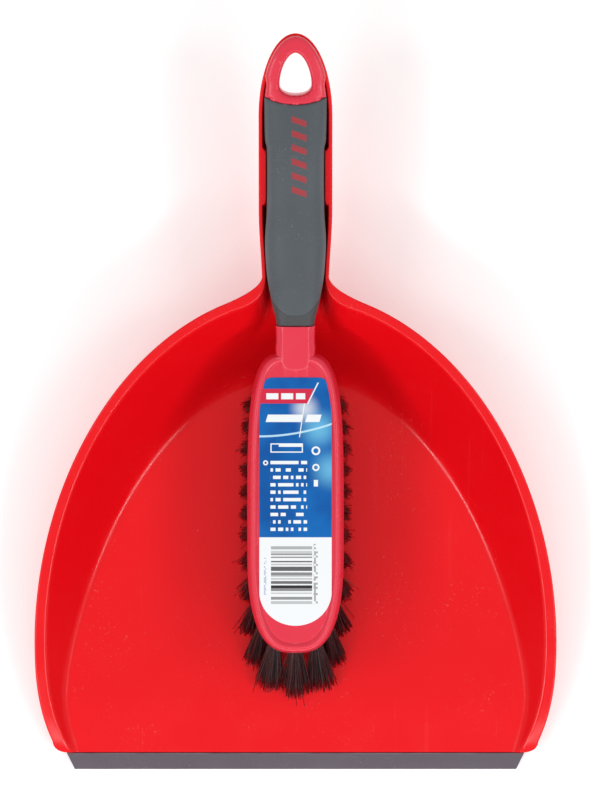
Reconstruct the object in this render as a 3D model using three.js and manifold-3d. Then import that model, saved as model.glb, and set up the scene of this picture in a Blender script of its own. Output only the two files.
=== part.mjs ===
// Dust pan with its hand brush clipped into it.
// Millimetres. +X to the right, +Y from the lip towards the handle's end, +Z up.
// The origin is on the floor, under the middle of the set's outer box.

import * as THREE from 'three';
import { ParametricGeometry } from 'three/addons/geometries/ParametricGeometry.js';
import { mergeVertices } from 'three/addons/utils/BufferGeometryUtils.js';
import Module from 'manifold-3d';

const wasm = await Module();
wasm.setup();

// ---------------------------------------------------------------- driving dimensions

const FIT_GAP = 0.3; // clearance between touching pieces
const QUARTER_TURN = Math.PI / 2; // from the widest point to an end of an outline

// Pan bowl
const PAN = {
  halfWidth: 114, // to the rim's outer edge
  widestY: -104.7,
  backLength: 154.5, // from the widest point to the back of the rim
  backPower: 1.95,
  frontLength: 90.5,
  frontPower: 2.5,
  edgeY: -152.6, // front edge of the plastic, where the soft lip starts
  wall: 2.2,
  wallSlope: 1.376, // rise over run of the side walls, about 54 degrees
  rimFrontZ: 5.5,
  rimRise: 41.5,
  rimPower: 0.75,
  flangeFront: 5.0,
  flangeBack: 4.2,
  ridgeY: -131.5, // the floor's highest line
  ridgeTop: 5.8,
  edgeTop: 3.4,
  flatY: -62, // the floor is flat on the ground behind this line
};
const PAN_BACK_Y = PAN.widestY + PAN.backLength;
const CORNER = { reach: 107.5, run: 5.5, bow: 0.6, slant: 6 }; // clipped front corners of the rim

// Soft lip along the front edge, with a thin tail tucked under the floor
const LIP = { tipY: -160.2, tipHalf: 97, rootHalf: 100.6, tipTop: 0.7, rootTop: 3.6, tuckY: -145, tail: 1.1 };

// Pan handle: an open trough that carries on in the plane of the rim
const TROUGH = {
  mouthHalf: 14.4,
  fullHalf: 15.9,
  fullAt: 35,
  noseAt: 75.5,
  noseLength: 35.5,
  wall: 1.6,
  depth: 11.5,
  floor: 2.2,
  outerDraft: 1.4,
  innerDraft: 1.1,
  flareX: 31,
  flareTo: 6,
  startIn: -16, // where its outside starts, under the bowl's back wall
  cutIn: -22, // where its hollow starts, inside the bowl
  cutHigh: 40,
};
const LUG = { from: 37.5, to: 60.5, reach: 12.75, slant: 1.5 };

// Brush head
const HEAD = {
  halfWidth: 21,
  middleY: -59.4,
  frontLength: 48.2,
  frontPower: 2.8,
  backLength: 82.3,
  backPower: 4.2,
  bottom: 36,
  top: 50,
};
const HEAD_PROFILE = [[1, 0], [0, 1], [0.4, 7], [1.6, 12.4], [3.2, 14]]; // inset, height over its bottom
const LABEL = { halfWidth: 15.6, back: 11.8, bend: -80.8, front: -95.3, corner: 6, recess: 0.5, thick: 0.3 };

// Brush handle, in the trough's own frame: distance along it, half width, top, bottom
const HANDLE_STATIONS = [
  [-44, 8.2, 7.3, -4.5],
  [-28, 8.6, 8.1, -6.6],
  [-15, 8.6, 8.5, -9.0],
  [-3.5, 11.2, 9.0, -10.2],
  [8, 12.6, 9.2, -10.6],
  [21.5, 13.2, 9.2, -10.6],
  [36, 12.4, 9.0, -10.6],
  [60, 12.4, 8.1, -10.3],
  [65.5, 13.2, 7.6, -10.0],
  [82, 13.55, 5.6, -8.0],
];
const ROUNDNESS = 0.75; // of the handle's section: 1 is an ellipse, less is squarer
const LOOP = {
  noseAt: 75.5,
  noseLength: 33.2,
  half: 13.7,
  startTop: 5.4,
  startBottom: -7.6,
  top: 4.6,
  bottom: -6.2,
  rounding: 2.2,
};
const GRIP = { from: -15, to: 87.2, dip: 4.4, thick: 2.2 };
const HANG_HOLE = { middle: 89.2, up: 13.4, upPower: 1.8, down: 4.4, downPower: 2.2, half: 6.8, panGap: 0.8 };

// Bristle tufts
const TUFT = {
  holeRadius: 2.2,
  rootRadius: 1.9,
  tipRadius: 3.2,
  holeDepth: 9,
  inset: 5,
  outerCount: 25,
  outerBackY: 3,
  innerX: 5.4,
  innerCount: 9,
  innerBackY: -2,
  innerFrontY: -88,
  sideReach: 5.0,
  frontReach: 22.7,
  drag: 3.5, // how far every outer tuft leans to the front
  innerSplay: 1.2,
  innerDrag: 6,
  floorClear: 0.8,
};

// ---------------------------------------------------------------- materials

const panPlastic = new THREE.MeshStandardMaterial({ color: 0xe31b23, roughness: 0.3, metalness: 0 });
const brushPlastic = new THREE.MeshStandardMaterial({ color: 0xea3348, roughness: 0.35, metalness: 0 });
const softGrey = new THREE.MeshStandardMaterial({ color: 0x5d6369, roughness: 0.8, metalness: 0 });
const lipRubber = new THREE.MeshStandardMaterial({ color: 0x5c5c60, roughness: 0.7, metalness: 0 });
const labelFilm = new THREE.MeshStandardMaterial({ color: 0x1b63b0, roughness: 0.4, metalness: 0 });
const bristle = new THREE.MeshStandardMaterial({ color: 0x2a1012, roughness: 0.6, metalness: 0 });

// ---------------------------------------------------------------- helpers

const clamp01 = (value) => Math.min(1, Math.max(0, value));
const smooth = (value) => clamp01(value) ** 2 * (3 - 2 * clamp01(value));
const mix = THREE.MathUtils.lerp;

// Turns a closed geometry into a solid that can be joined and cut.
function solid(geometry) {
  geometry.deleteAttribute('normal');
  geometry.deleteAttribute('uv');
  const merged = mergeVertices(geometry, 1e-4);
  const points = merged.attributes.position.array;
  const triangles = [];
  let volume = 0;
  for (let i = 0; i < merged.index.count; i += 3) {
    const [a, b, c] = merged.index.array.slice(i, i + 3);
    if (a === b || b === c || c === a) continue;
    triangles.push(a, b, c);
    const corner = [a, b, c].map((k) => new THREE.Vector3().fromArray(points, 3 * k));
    volume += corner[0].dot(corner[1].cross(corner[2]));
  }
  if (volume < 0) triangles.reverse();
  return new wasm.Manifold(new wasm.Mesh({
    numProp: 3,
    vertProperties: new Float32Array(points),
    triVerts: new Uint32Array(triangles),
  }));
}

// Skins a row of rings that all have the same number of points, and closes it at two poles.
function skin(rings, startPole, endPole) {
  const count = rings[0].length;
  const rows = [Array(count).fill(startPole), ...rings, Array(count).fill(endPole)];
  const last = rows.length - 1;
  const pick = (u, v, target) => target.copy(rows[Math.round(v * last)][Math.round(u * count) % count]);
  return solid(new ParametricGeometry(pick, count, last));
}

// A flat outline pushed up from one height to another, then moved by a matrix.
function prism(shape, low, high, matrix = new THREE.Matrix4(), curveSegments = 10) {
  const options = { depth: high - low, bevelEnabled: false, curveSegments };
  const geometry = new THREE.ExtrudeGeometry(shape, options);
  geometry.translate(0, 0, low);
  geometry.applyMatrix4(matrix);
  return solid(geometry);
}

function finish(body, name, material) {
  const result = body.getMesh();
  const geometry = new THREE.BufferGeometry();
  geometry.setAttribute('position', new THREE.BufferAttribute(new Float32Array(result.vertProperties), 3));
  geometry.setIndex([...result.triVerts]);
  geometry.computeVertexNormals();
  const mesh = new THREE.Mesh(geometry, material);
  mesh.name = name;
  return mesh;
}

// A point on a rounded outline whose front and back halves have their own length and roundness.
// angle is -90 degrees at the front end, 0 at the widest point and 90 degrees at the back end.
function ovalPoint(form, middle, angle, inset = 0) {
  const back = angle >= 0;
  const power = back ? form.backPower : form.frontPower;
  const length = (back ? form.backLength : form.frontLength) - inset;
  const x = (form.halfWidth - inset) * Math.cos(angle) ** (2 / power);
  const y = length * Math.abs(Math.sin(angle)) ** (2 / power);
  return new THREE.Vector2(x < 1e-6 ? 0 : x, middle + (back ? y : -y));
}

// ---------------------------------------------------------------- pan bowl surfaces

const rimTime = (y) => Math.max(0.001, (y - PAN.edgeY) / (PAN_BACK_Y - PAN.edgeY));
const rimHeight = (y) => PAN.rimFrontZ + PAN.rimRise * rimTime(y) ** PAN.rimPower;

// Height of the floor's upper face: flat at the back, up to the ridge, then down to the lip.
function floorTop(y) {
  if (y > PAN.ridgeY) {
    return mix(PAN.ridgeTop, PAN.wall, smooth((y - PAN.ridgeY) / (PAN.flatY - PAN.ridgeY)));
  }
  return mix(PAN.edgeTop, PAN.ridgeTop, (y - PAN.edgeY) / (PAN.ridgeY - PAN.edgeY));
}

// Rim's outer edge at an angle, and the inward direction square to it.
function rimStation(angle) {
  const edge = ovalPoint(PAN, PAN.widestY, angle);
  const length = angle >= 0 ? PAN.backLength : PAN.frontLength;
  const power = angle >= 0 ? PAN.backPower : PAN.frontPower;
  const across = (edge.x / PAN.halfWidth) ** (power - 1) / PAN.halfWidth;
  const along = Math.abs((edge.y - PAN.widestY) / length) ** (power - 1) / length;
  const inward = new THREE.Vector2(-across, angle >= 0 ? -along : along).normalize();
  const flange = mix(PAN.flangeFront, PAN.flangeBack, smooth(rimTime(edge.y)));
  const rimZ = rimHeight(edge.y);
  const run = Math.max(0.3, (rimZ - floorTop(edge.y)) / PAN.wallSlope);
  return { edge, inward, flange, rimZ, run };
}

// A point of a station's section: distance in from the edge, and height.
const sectionPoint = ({ edge, inward }, distance, z) =>
  new THREE.Vector3(edge.x + inward.x * distance, edge.y + inward.y * distance, z);

const mirrored = (point) => new THREE.Vector3(-point.x, point.y, point.z);

function ringOf(halfSection) {
  return [...halfSection, ...halfSection.map(mirrored).reverse()];
}

const RIM_ROWS = 40;
const FRONT_ANGLE = -0.52;
const rimAngles = Array.from({ length: RIM_ROWS + 1 }, (_, i) =>
  mix(FRONT_ANGLE, QUARTER_TURN, i / RIM_ROWS));

// Everything under the rim, as if the bowl were filled.
function bowlBlock() {
  const underShift = PAN.wall * (1 / PAN.wallSlope - Math.hypot(1, 1 / PAN.wallSlope));
  const rings = rimAngles.map((angle) => {
    const at = rimStation(angle);
    const crease = sectionPoint(at, at.flange + at.run, 0);
    return ringOf([
      sectionPoint(at, 0, at.rimZ),
      sectionPoint(at, 0, at.rimZ - PAN.wall),
      sectionPoint(at, at.flange + underShift, at.rimZ - PAN.wall),
      sectionPoint(at, at.flange + at.run + underShift, floorTop(crease.y) - PAN.wall),
    ]);
  });
  const frontPole = new THREE.Vector3(0, rings[0][0].y, PAN.rimFrontZ - 1);
  return skin(rings, frontPole, rings[RIM_ROWS][0]);
}

// The space inside the bowl, carried on above the rim at the walls' own slope.
function bowlHollow() {
  const above = 5;
  const ceiling = 130;
  const rings = rimAngles.map((angle) => {
    const at = rimStation(angle);
    const top = at.flange - above / PAN.wallSlope;
    const crease = sectionPoint(at, at.flange + at.run, 0);
    return ringOf([
      sectionPoint(at, top, ceiling),
      sectionPoint(at, top, at.rimZ + above),
      sectionPoint(at, at.flange + at.run, floorTop(crease.y)),
    ]);
  });
  const frontPole = new THREE.Vector3(0, rings[0][0].y, ceiling / 2);
  return skin(rings, frontPole, rings[RIM_ROWS][1]);
}

// ---------------------------------------------------------------- pan handle trough

const RISE = Math.atan((PAN.rimRise * PAN.rimPower) / (PAN_BACK_Y - PAN.edgeY));
const TROUGH_FRAME = new THREE.Matrix4()
  .makeTranslation(0, PAN_BACK_Y, rimHeight(PAN_BACK_Y))
  .multiply(new THREE.Matrix4().makeRotationX(RISE));

// Half width of the trough's outside, at a distance along it.
function troughHalf(along, inset = 0) {
  const past = (along - TROUGH.noseAt) / (TROUGH.noseLength - inset);
  const side = mix(TROUGH.mouthHalf, TROUGH.fullHalf, smooth(along / TROUGH.fullAt)) - inset;
  return past <= 0 ? side : side * Math.sqrt(Math.max(0, 1 - past * past));
}

// Distances along the trough, closer together round its nose.
function troughStations(from, inset) {
  const straight = Array.from({ length: 8 }, (_, i) => mix(from, TROUGH.noseAt, i / 8));
  const turn = Array.from({ length: 15 }, (_, i) => Math.sin((QUARTER_TURN * i) / 14));
  return [...straight, ...turn.map((part) => TROUGH.noseAt + part * (TROUGH.noseLength - inset))];
}

function troughRing(from, inset, height) {
  return ringOf(troughStations(from, inset).map((along) =>
    new THREE.Vector3(troughHalf(along, inset), along, height).applyMatrix4(TROUGH_FRAME)));
}

function troughSolid(from, inset, low, high, draft) {
  const pole = (height) => new THREE.Vector3(0, TROUGH.noseAt / 2, height).applyMatrix4(TROUGH_FRAME);
  const rings = [troughRing(from, inset + draft, low), troughRing(from, inset, 0)];
  if (high > 0) rings.push(troughRing(from, inset, high));
  return skin(rings, pole(low), pole(high));
}

// The flange where the trough's sides sweep out into the rim, in the trough's frame.
function flareShape() {
  const angle = Math.acos((TROUGH.flareX / PAN.halfWidth) ** (PAN.backPower / 2));
  const { edge, inward } = rimStation(angle);
  const rimY = (edge.y - PAN_BACK_Y) / Math.cos(RISE);
  const meetY = rimY + (inward.x / inward.y) * (edge.x - TROUGH.mouthHalf);
  const shape = new THREE.Shape();
  shape.moveTo(edge.x, rimY);
  shape.quadraticCurveTo(TROUGH.mouthHalf, meetY, TROUGH.mouthHalf, TROUGH.flareTo);
  shape.lineTo(-TROUGH.mouthHalf, TROUGH.flareTo);
  shape.quadraticCurveTo(-TROUGH.mouthHalf, meetY, -edge.x, rimY);
  shape.closePath();
  return shape;
}

// An egg-shaped hole for a hook, narrow towards the handle's end.
function hangHoleShape(grow) {
  const form = {
    halfWidth: HANG_HOLE.half + grow,
    backLength: HANG_HOLE.up + grow,
    backPower: HANG_HOLE.upPower,
    frontLength: HANG_HOLE.down + grow,
    frontPower: HANG_HOLE.downPower,
  };
  const steps = 20;
  const right = Array.from({ length: steps + 1 }, (_, i) =>
    ovalPoint(form, HANG_HOLE.middle, mix(-QUARTER_TURN, QUARTER_TURN, i / steps)));
  const left = right.slice(1, steps).reverse().map((point) => new THREE.Vector2(-point.x, point.y));
  return new THREE.Shape([...right, ...left]);
}

// Two low bosses on the trough's sides that hold the brush handle at its waist.
function lug(side) {
  const inner = side * LUG.reach;
  const outer = side * (TROUGH.fullHalf - TROUGH.wall / 2);
  const shape = new THREE.Shape();
  shape.moveTo(outer, LUG.from - LUG.slant);
  shape.lineTo(inner, LUG.from);
  shape.lineTo(inner, LUG.to);
  shape.lineTo(outer, LUG.to + LUG.slant);
  shape.closePath();
  return prism(shape, -TROUGH.depth - TROUGH.floor / 4, 0, TROUGH_FRAME);
}

// Plan outline that trims the front of the pan: straight edge, clipped corners.
function panTrim() {
  const clear = 10; // past the pan on the sides that aren't trimmed
  const wide = PAN.halfWidth + clear;
  const far = PAN_BACK_Y + TROUGH.noseAt + TROUGH.noseLength + clear;
  const bendX = CORNER.reach - 1;
  const bendY = PAN.edgeY + CORNER.bow;
  const cornerY = PAN.edgeY + CORNER.run;
  const shape = new THREE.Shape();
  shape.moveTo(LIP.rootHalf, PAN.edgeY);
  shape.quadraticCurveTo(bendX, bendY, CORNER.reach, cornerY);
  shape.lineTo(wide, cornerY + CORNER.slant);
  shape.lineTo(wide, far);
  shape.lineTo(-wide, far);
  shape.lineTo(-wide, cornerY + CORNER.slant);
  shape.lineTo(-CORNER.reach, cornerY);
  shape.quadraticCurveTo(-bendX, bendY, -LIP.rootHalf, PAN.edgeY);
  shape.closePath();
  return prism(shape, -clear, 2 * PAN.halfWidth);
}

function panShell() {
  const deep = TROUGH.depth + TROUGH.floor;
  const outside = bowlBlock()
    .add(troughSolid(TROUGH.startIn, 0, -deep, 0, TROUGH.outerDraft))
    .add(prism(flareShape(), -PAN.wall, 0, TROUGH_FRAME));
  const inside = bowlHollow()
    .add(troughSolid(TROUGH.cutIn, TROUGH.wall, -TROUGH.depth, TROUGH.cutHigh, TROUGH.innerDraft));
  return outside
    .subtract(inside)
    .add(lug(1))
    .add(lug(-1))
    .subtract(prism(hangHoleShape(HANG_HOLE.panGap), -2 * deep, 0, TROUGH_FRAME))
    .intersect(panTrim());
}

// ---------------------------------------------------------------- soft lip

// A wedge along the front edge and its tail, trimmed to slanted ends.
function lipStrip() {
  const section = new THREE.Shape();
  section.moveTo(LIP.tipY, 0);
  section.lineTo(LIP.tuckY, 0);
  section.lineTo(LIP.tuckY, LIP.tail);
  section.lineTo(PAN.edgeY - FIT_GAP, PAN.edgeTop - PAN.wall - FIT_GAP);
  section.lineTo(PAN.edgeY - FIT_GAP, LIP.rootTop);
  section.lineTo(LIP.tipY, LIP.tipTop);
  section.closePath();
  const standing = new THREE.Matrix4().makeBasis(
    new THREE.Vector3(0, 1, 0),
    new THREE.Vector3(0, 0, 1),
    new THREE.Vector3(1, 0, 0),
  );
  const trim = new THREE.Shape();
  trim.moveTo(LIP.tipHalf, LIP.tipY);
  trim.lineTo(LIP.rootHalf, PAN.edgeY);
  trim.lineTo(LIP.tipHalf, LIP.tuckY);
  trim.lineTo(-LIP.tipHalf, LIP.tuckY);
  trim.lineTo(-LIP.rootHalf, PAN.edgeY);
  trim.lineTo(-LIP.tipHalf, LIP.tipY);
  trim.closePath();
  return prism(section, -LIP.rootHalf, LIP.rootHalf, standing).intersect(prism(trim, -1, 2 * LIP.rootTop));
}

// ---------------------------------------------------------------- brush head

function headRing(inset, z) {
  const steps = 22;
  const half = Array.from({ length: steps + 1 }, (_, i) => {
    const point = ovalPoint(HEAD, HEAD.middleY, mix(-QUARTER_TURN, QUARTER_TURN, i / steps), inset);
    return new THREE.Vector3(point.x, point.y, z);
  });
  return [...half, ...half.slice(1, steps).map(mirrored).reverse()];
}

function headBlock() {
  const rings = HEAD_PROFILE.map(([inset, height]) => headRing(inset, HEAD.bottom + height));
  const pole = (z) => new THREE.Vector3(0, HEAD.middleY, z);
  return skin(rings, pole(HEAD.bottom), pole(HEAD.top));
}

// Outline of the label: rounded corners at the back, half an ellipse at the front.
function labelShape(grow) {
  const half = LABEL.halfWidth + grow;
  const back = LABEL.back + grow;
  const bend = LABEL.bend;
  const shape = new THREE.Shape();
  shape.moveTo(half, bend);
  shape.lineTo(half, back - LABEL.corner);
  shape.quadraticCurveTo(half, back, half - LABEL.corner, back);
  shape.lineTo(-half + LABEL.corner, back);
  shape.quadraticCurveTo(-half, back, -half, back - LABEL.corner);
  shape.lineTo(-half, bend);
  shape.absellipse(0, bend, half, bend - LABEL.front + grow, Math.PI, 2 * Math.PI, false, 0);
  return shape;
}

// ---------------------------------------------------------------- brush handle

const handleUpper = new THREE.CatmullRomCurve3(
  HANDLE_STATIONS.map(([along, half, top]) => new THREE.Vector3(along, half, top)),
);
const handleLower = new THREE.CatmullRomCurve3(
  HANDLE_STATIONS.map(([along, , , bottom]) => new THREE.Vector3(along, bottom, 0)),
);

// One ring of the handle: a squarish oval, lying across the trough's frame.
function handleRing(along, half, top, bottom, inset, count = 20) {
  const middle = (top + bottom) / 2;
  const wide = half - inset;
  const high = (top - bottom) / 2 - inset;
  return Array.from({ length: count }, (_, i) => {
    const angle = (2 * Math.PI * i) / count;
    const x = wide * Math.sign(Math.cos(angle)) * Math.abs(Math.cos(angle)) ** ROUNDNESS;
    const z = high * Math.sign(Math.sin(angle)) * Math.abs(Math.sin(angle)) ** ROUNDNESS;
    return new THREE.Vector3(x, along, middle + z).applyMatrix4(TROUGH_FRAME);
  });
}

function handleRings(inset, steps, count) {
  return Array.from({ length: steps + 1 }, (_, i) => {
    const upper = handleUpper.getPoint(i / steps);
    const lower = handleLower.getPoint(i / steps);
    return handleRing(upper.x, upper.y, upper.z, lower.y, inset, count);
  });
}

const handlePole = (along, height) => new THREE.Vector3(0, along, height).applyMatrix4(TROUGH_FRAME);

// The handle's outside, from inside the head to the rounded end that holds the hang hole.
function handleOuter() {
  const turn = [0.35, 0.5, 0.62, 0.73, 0.83, 0.91, 0.965, 0.99];
  const nose = turn.map((part) => {
    const fade = smooth((part - 0.2) / 0.25);
    const round = LOOP.rounding * smooth((part - 0.7) / 0.29);
    const half = LOOP.half * Math.sqrt(1 - part * part);
    const top = mix(LOOP.startTop, LOOP.top, fade) - round;
    const bottom = mix(LOOP.startBottom, LOOP.bottom, fade) + round;
    return handleRing(LOOP.noseAt + part * LOOP.noseLength, half, top, bottom, 0);
  });
  const middle = (LOOP.top + LOOP.bottom) / 2;
  const start = handlePole(HANDLE_STATIONS[0][0], 1);
  const end = handlePole(LOOP.noseAt + LOOP.noseLength, middle);
  return skin([...handleRings(0, 24, 20), ...nose], start, end);
}

// The stiff core that the soft grip is moulded around.
function handleCore(grow) {
  const start = handlePole(HANDLE_STATIONS[0][0], 1);
  const end = handlePole(HANDLE_STATIONS.at(-1)[0], -1);
  return skin(handleRings(GRIP.thick - grow, 12, 12), start, end);
}

// The stretch of the handle that the grip covers; its far edge dips towards the head.
function gripZone(grow) {
  const wide = 1.5 * LOOP.half;
  const deep = 30;
  const low = GRIP.from - grow;
  const high = GRIP.to + grow;
  const shape = new THREE.Shape();
  shape.moveTo(-wide, low);
  shape.lineTo(wide, low);
  shape.lineTo(wide, high);
  shape.quadraticCurveTo(0, high - 3 * GRIP.dip, -wide, high);
  shape.closePath();
  return prism(shape, -deep, deep, TROUGH_FRAME, 16);
}

// ---------------------------------------------------------------- tufts

// Roots of the outer row, evenly spaced round the head, and of the two inner rows.
function tuftRoots() {
  const form = {
    ...HEAD,
    halfWidth: HEAD.halfWidth - TUFT.inset,
    frontLength: HEAD.frontLength - TUFT.inset,
  };
  const backSine = ((TUFT.outerBackY - HEAD.middleY) / HEAD.backLength) ** (HEAD.backPower / 2);
  const steps = 60;
  const start = Math.asin(backSine);
  const right = Array.from({ length: steps + 1 }, (_, i) =>
    ovalPoint(form, HEAD.middleY, mix(start, -QUARTER_TURN, i / steps)));
  const left = right.slice(0, steps).reverse().map((point) => new THREE.Vector2(-point.x, point.y));
  const outer = new THREE.SplineCurve([...right, ...left]).getSpacedPoints(TUFT.outerCount - 1);
  const inner = [];
  for (let i = 0; i < TUFT.innerCount; i += 1) {
    const y = mix(TUFT.innerBackY, TUFT.innerFrontY, i / (TUFT.innerCount - 1));
    inner.push(new THREE.Vector2(TUFT.innerX, y), new THREE.Vector2(-TUFT.innerX, y));
  }
  return { outer, inner };
}

// How far a tuft's tip stands from its root, sideways and towards the front.
function tuftLean(root, isOuter) {
  const ahead = clamp01((HEAD.middleY - root.y) / (HEAD.frontLength - TUFT.inset));
  if (!isOuter) return new THREE.Vector2(Math.sign(root.x) * TUFT.innerSplay, -1 - TUFT.innerDrag * ahead);
  const side = Math.abs(root.x) < 0.1 ? 0 : Math.sign(root.x);
  const sideways = TUFT.sideReach * (1 - ahead ** 2) ** 0.25;
  const forward = mix(TUFT.drag, TUFT.frontReach, Math.sin(QUARTER_TURN * ahead ** 1.25));
  return new THREE.Vector2(side * sideways, -forward);
}

function circleRing(centre, radius) {
  const sides = 8;
  return Array.from({ length: sides }, (_, i) => {
    const angle = (2 * Math.PI * i) / sides;
    return centre.clone().add(new THREE.Vector3(radius * Math.cos(angle), radius * Math.sin(angle), 0));
  });
}

// A tuft: straight in its hole, then leaning and spreading down to its trimmed end.
function tuftBody(root, isOuter) {
  const lean = tuftLean(root, isOuter);
  const tipY = root.y + lean.y;
  const tipZ = floorTop(tipY - TUFT.tipRadius) + TUFT.floorClear;
  const seat = new THREE.Vector3(root.x, root.y, HEAD.bottom + TUFT.holeDepth - FIT_GAP);
  const face = new THREE.Vector3(root.x, root.y, HEAD.bottom - 0.5);
  const middle = new THREE.Vector3(root.x + lean.x * 0.42, root.y + lean.y * 0.42, mix(face.z, tipZ, 0.5));
  const tip = new THREE.Vector3(root.x + lean.x, tipY, tipZ);
  const rings = [
    circleRing(seat, TUFT.rootRadius),
    circleRing(face, TUFT.rootRadius),
    circleRing(middle, mix(TUFT.rootRadius, TUFT.tipRadius, 0.4)),
    circleRing(tip, TUFT.tipRadius),
  ];
  return skin(rings, seat, tip);
}

function tuftHole(root) {
  const floor = new THREE.Vector3(root.x, root.y, HEAD.bottom + TUFT.holeDepth);
  const mouth = new THREE.Vector3(root.x, root.y, HEAD.bottom - 2);
  return skin([circleRing(floor, TUFT.holeRadius), circleRing(mouth, TUFT.holeRadius)], floor, mouth);
}

// ---------------------------------------------------------------- assembly

const roots = tuftRoots();
const set = new THREE.Group();

set.add(finish(panShell(), 'pan_shell', panPlastic));
set.add(finish(lipStrip(), 'lip_strip', lipRubber));

const outer = handleOuter();
const labelRecess = prism(labelShape(FIT_GAP), HEAD.top - LABEL.recess, HEAD.top + 1);
let brushBody = outer
  .subtract(gripZone(FIT_GAP / 2))
  .add(handleCore(0))
  .add(headBlock())
  .subtract(labelRecess)
  .subtract(prism(hangHoleShape(0), 3 * LOOP.bottom, 3 * LOOP.top, TROUGH_FRAME));
for (const root of [...roots.outer, ...roots.inner]) {
  brushBody = brushBody.subtract(tuftHole(root));
}
set.add(finish(brushBody, 'brush_body', brushPlastic));

const grip = outer.intersect(gripZone(-FIT_GAP / 2)).subtract(handleCore(FIT_GAP));
set.add(finish(grip, 'soft_grip', softGrey));

const labelLow = HEAD.top - LABEL.recess + FIT_GAP / 2;
set.add(finish(prism(labelShape(0), labelLow, labelLow + LABEL.thick), 'label', labelFilm));

roots.outer.forEach((root, i) => {
  set.add(finish(tuftBody(root, true), `outer_tuft_${String(i + 1).padStart(2, '0')}`, bristle));
});
roots.inner.forEach((root, i) => {
  set.add(finish(tuftBody(root, false), `inner_tuft_${String(i + 1).padStart(2, '0')}`, bristle));
});

export default set;
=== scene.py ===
# %% [markdown]
# # A dust pan with its hand brush
#
# The pan is one glossy red moulding with a soft grey lip. The brush is a second moulding with a soft
# grip, a printed sticker and tufts of dark bristle, and it lies in the trough of the pan's handle.
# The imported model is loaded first, and every piece made here takes its place from it. All work is done
# in millimetres with numpy, and turned into metres only when a mesh is made.

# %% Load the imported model
import math

import bmesh
import bpy
import numpy as np
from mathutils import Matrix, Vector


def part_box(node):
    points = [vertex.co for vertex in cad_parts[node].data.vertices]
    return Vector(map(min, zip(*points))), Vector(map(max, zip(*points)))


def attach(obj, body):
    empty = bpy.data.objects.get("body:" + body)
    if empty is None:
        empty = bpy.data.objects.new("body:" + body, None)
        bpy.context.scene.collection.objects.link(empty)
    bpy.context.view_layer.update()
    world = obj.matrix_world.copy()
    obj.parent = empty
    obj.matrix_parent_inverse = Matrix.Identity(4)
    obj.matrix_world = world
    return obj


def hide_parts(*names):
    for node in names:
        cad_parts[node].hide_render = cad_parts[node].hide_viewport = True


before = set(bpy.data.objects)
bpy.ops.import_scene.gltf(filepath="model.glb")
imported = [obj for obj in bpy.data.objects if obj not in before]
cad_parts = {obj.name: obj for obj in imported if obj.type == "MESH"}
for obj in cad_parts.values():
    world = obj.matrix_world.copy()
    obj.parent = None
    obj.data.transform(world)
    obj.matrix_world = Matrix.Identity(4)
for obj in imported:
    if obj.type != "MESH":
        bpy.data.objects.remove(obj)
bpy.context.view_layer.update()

MM = 0.001


def box_mm(node):
    """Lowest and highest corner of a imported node, in millimetres."""
    low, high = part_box(node)
    return np.array(low) / MM, np.array(high) / MM


pan_low, pan_high = box_mm("pan_shell")
lip_low, lip_high = box_mm("lip_strip")
print("pan box, mm:", pan_low.round(1), pan_high.round(1))


# %% [markdown]
# ## Meshes out of grids
#
# Each surface below is a grid of points, so one helper can turn a list of grids into a closed mesh. It
# welds the seams, so that two grids that share an edge become one skin, and turns the faces outwards.
# A merge by distance is the simplest weld: the poles and seams are computed at the same place twice.

# %% From grids of points to a mesh
def grid_faces(rows, columns, start):
    """Corner numbers of the four-sided faces of a grid stored row by row."""
    corner = start + np.arange(rows * columns).reshape(rows, columns)
    return np.stack([corner[:-1, :-1], corner[:-1, 1:], corner[1:, 1:], corner[1:, :-1]], -1).reshape(-1, 4)


def mesh_from(name, grids, sharp_degrees=40, weld=1e-6):
    """Joins grids of shape (rows, columns, 3), in millimetres, into one closed, smooth-shaded mesh."""
    points, faces, start = [], [], 0
    for grid in grids:
        points.append(grid.reshape(-1, 3) * MM)
        faces.append(grid_faces(grid.shape[0], grid.shape[1], start))
        start += grid.shape[0] * grid.shape[1]
    mesh = bpy.data.meshes.new(name)
    mesh.from_pydata(np.vstack(points), [], np.vstack(faces))
    shell = bmesh.new()
    shell.from_mesh(mesh)
    bmesh.ops.remove_doubles(shell, verts=shell.verts, dist=weld)
    bmesh.ops.recalc_face_normals(shell, faces=shell.faces)
    shell.to_mesh(mesh)
    shell.free()
    mesh.shade_smooth()
    mesh.set_sharp_from_angle(angle=math.radians(sharp_degrees))
    piece = bpy.data.objects.new(name, mesh)
    bpy.context.scene.collection.objects.link(piece)
    return piece


def open_edges(piece):
    """How many edges don't join exactly two faces: nought on a closed skin."""
    shell = bmesh.new()
    shell.from_mesh(piece.data)
    count = sum(1 for edge in shell.edges if len(edge.link_faces) != 2)
    shell.free()
    return count


def combine(piece, other, operation):
    """Joins or cuts piece with another closed piece, which is used up."""
    step = piece.modifiers.new("join", "BOOLEAN")
    step.operation = operation
    step.solver = "EXACT"
    step.object = other
    graph = bpy.context.evaluated_depsgraph_get()
    mesh = bpy.data.meshes.new_from_object(piece.evaluated_get(graph))
    piece.modifiers.clear()
    old = piece.data
    piece.data = mesh
    bpy.data.meshes.remove(old)
    bpy.data.objects.remove(other)
    return piece


def soft_max(a, b, blend):
    """The larger of two values, with a parabola of that width rounding the change from one to the other."""
    share = np.clip(0.5 + 0.5 * (a - b) / blend, 0, 1)
    return b + (a - b) * share + blend * share * (1 - share)


def soft_min(a, b, blend):
    """The smaller of two values, rounded in the same way."""
    return -soft_max(-a, -b, blend)


def ease(value):
    """0 below 0, 1 above 1 and a smooth S in between."""
    value = np.clip(value, 0, 1)
    return value * value * (3 - 2 * value)


def signed_power(value, power):
    """The size of a value raised to a power, with the value's own sign."""
    return np.sign(value) * np.abs(value) ** power


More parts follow.
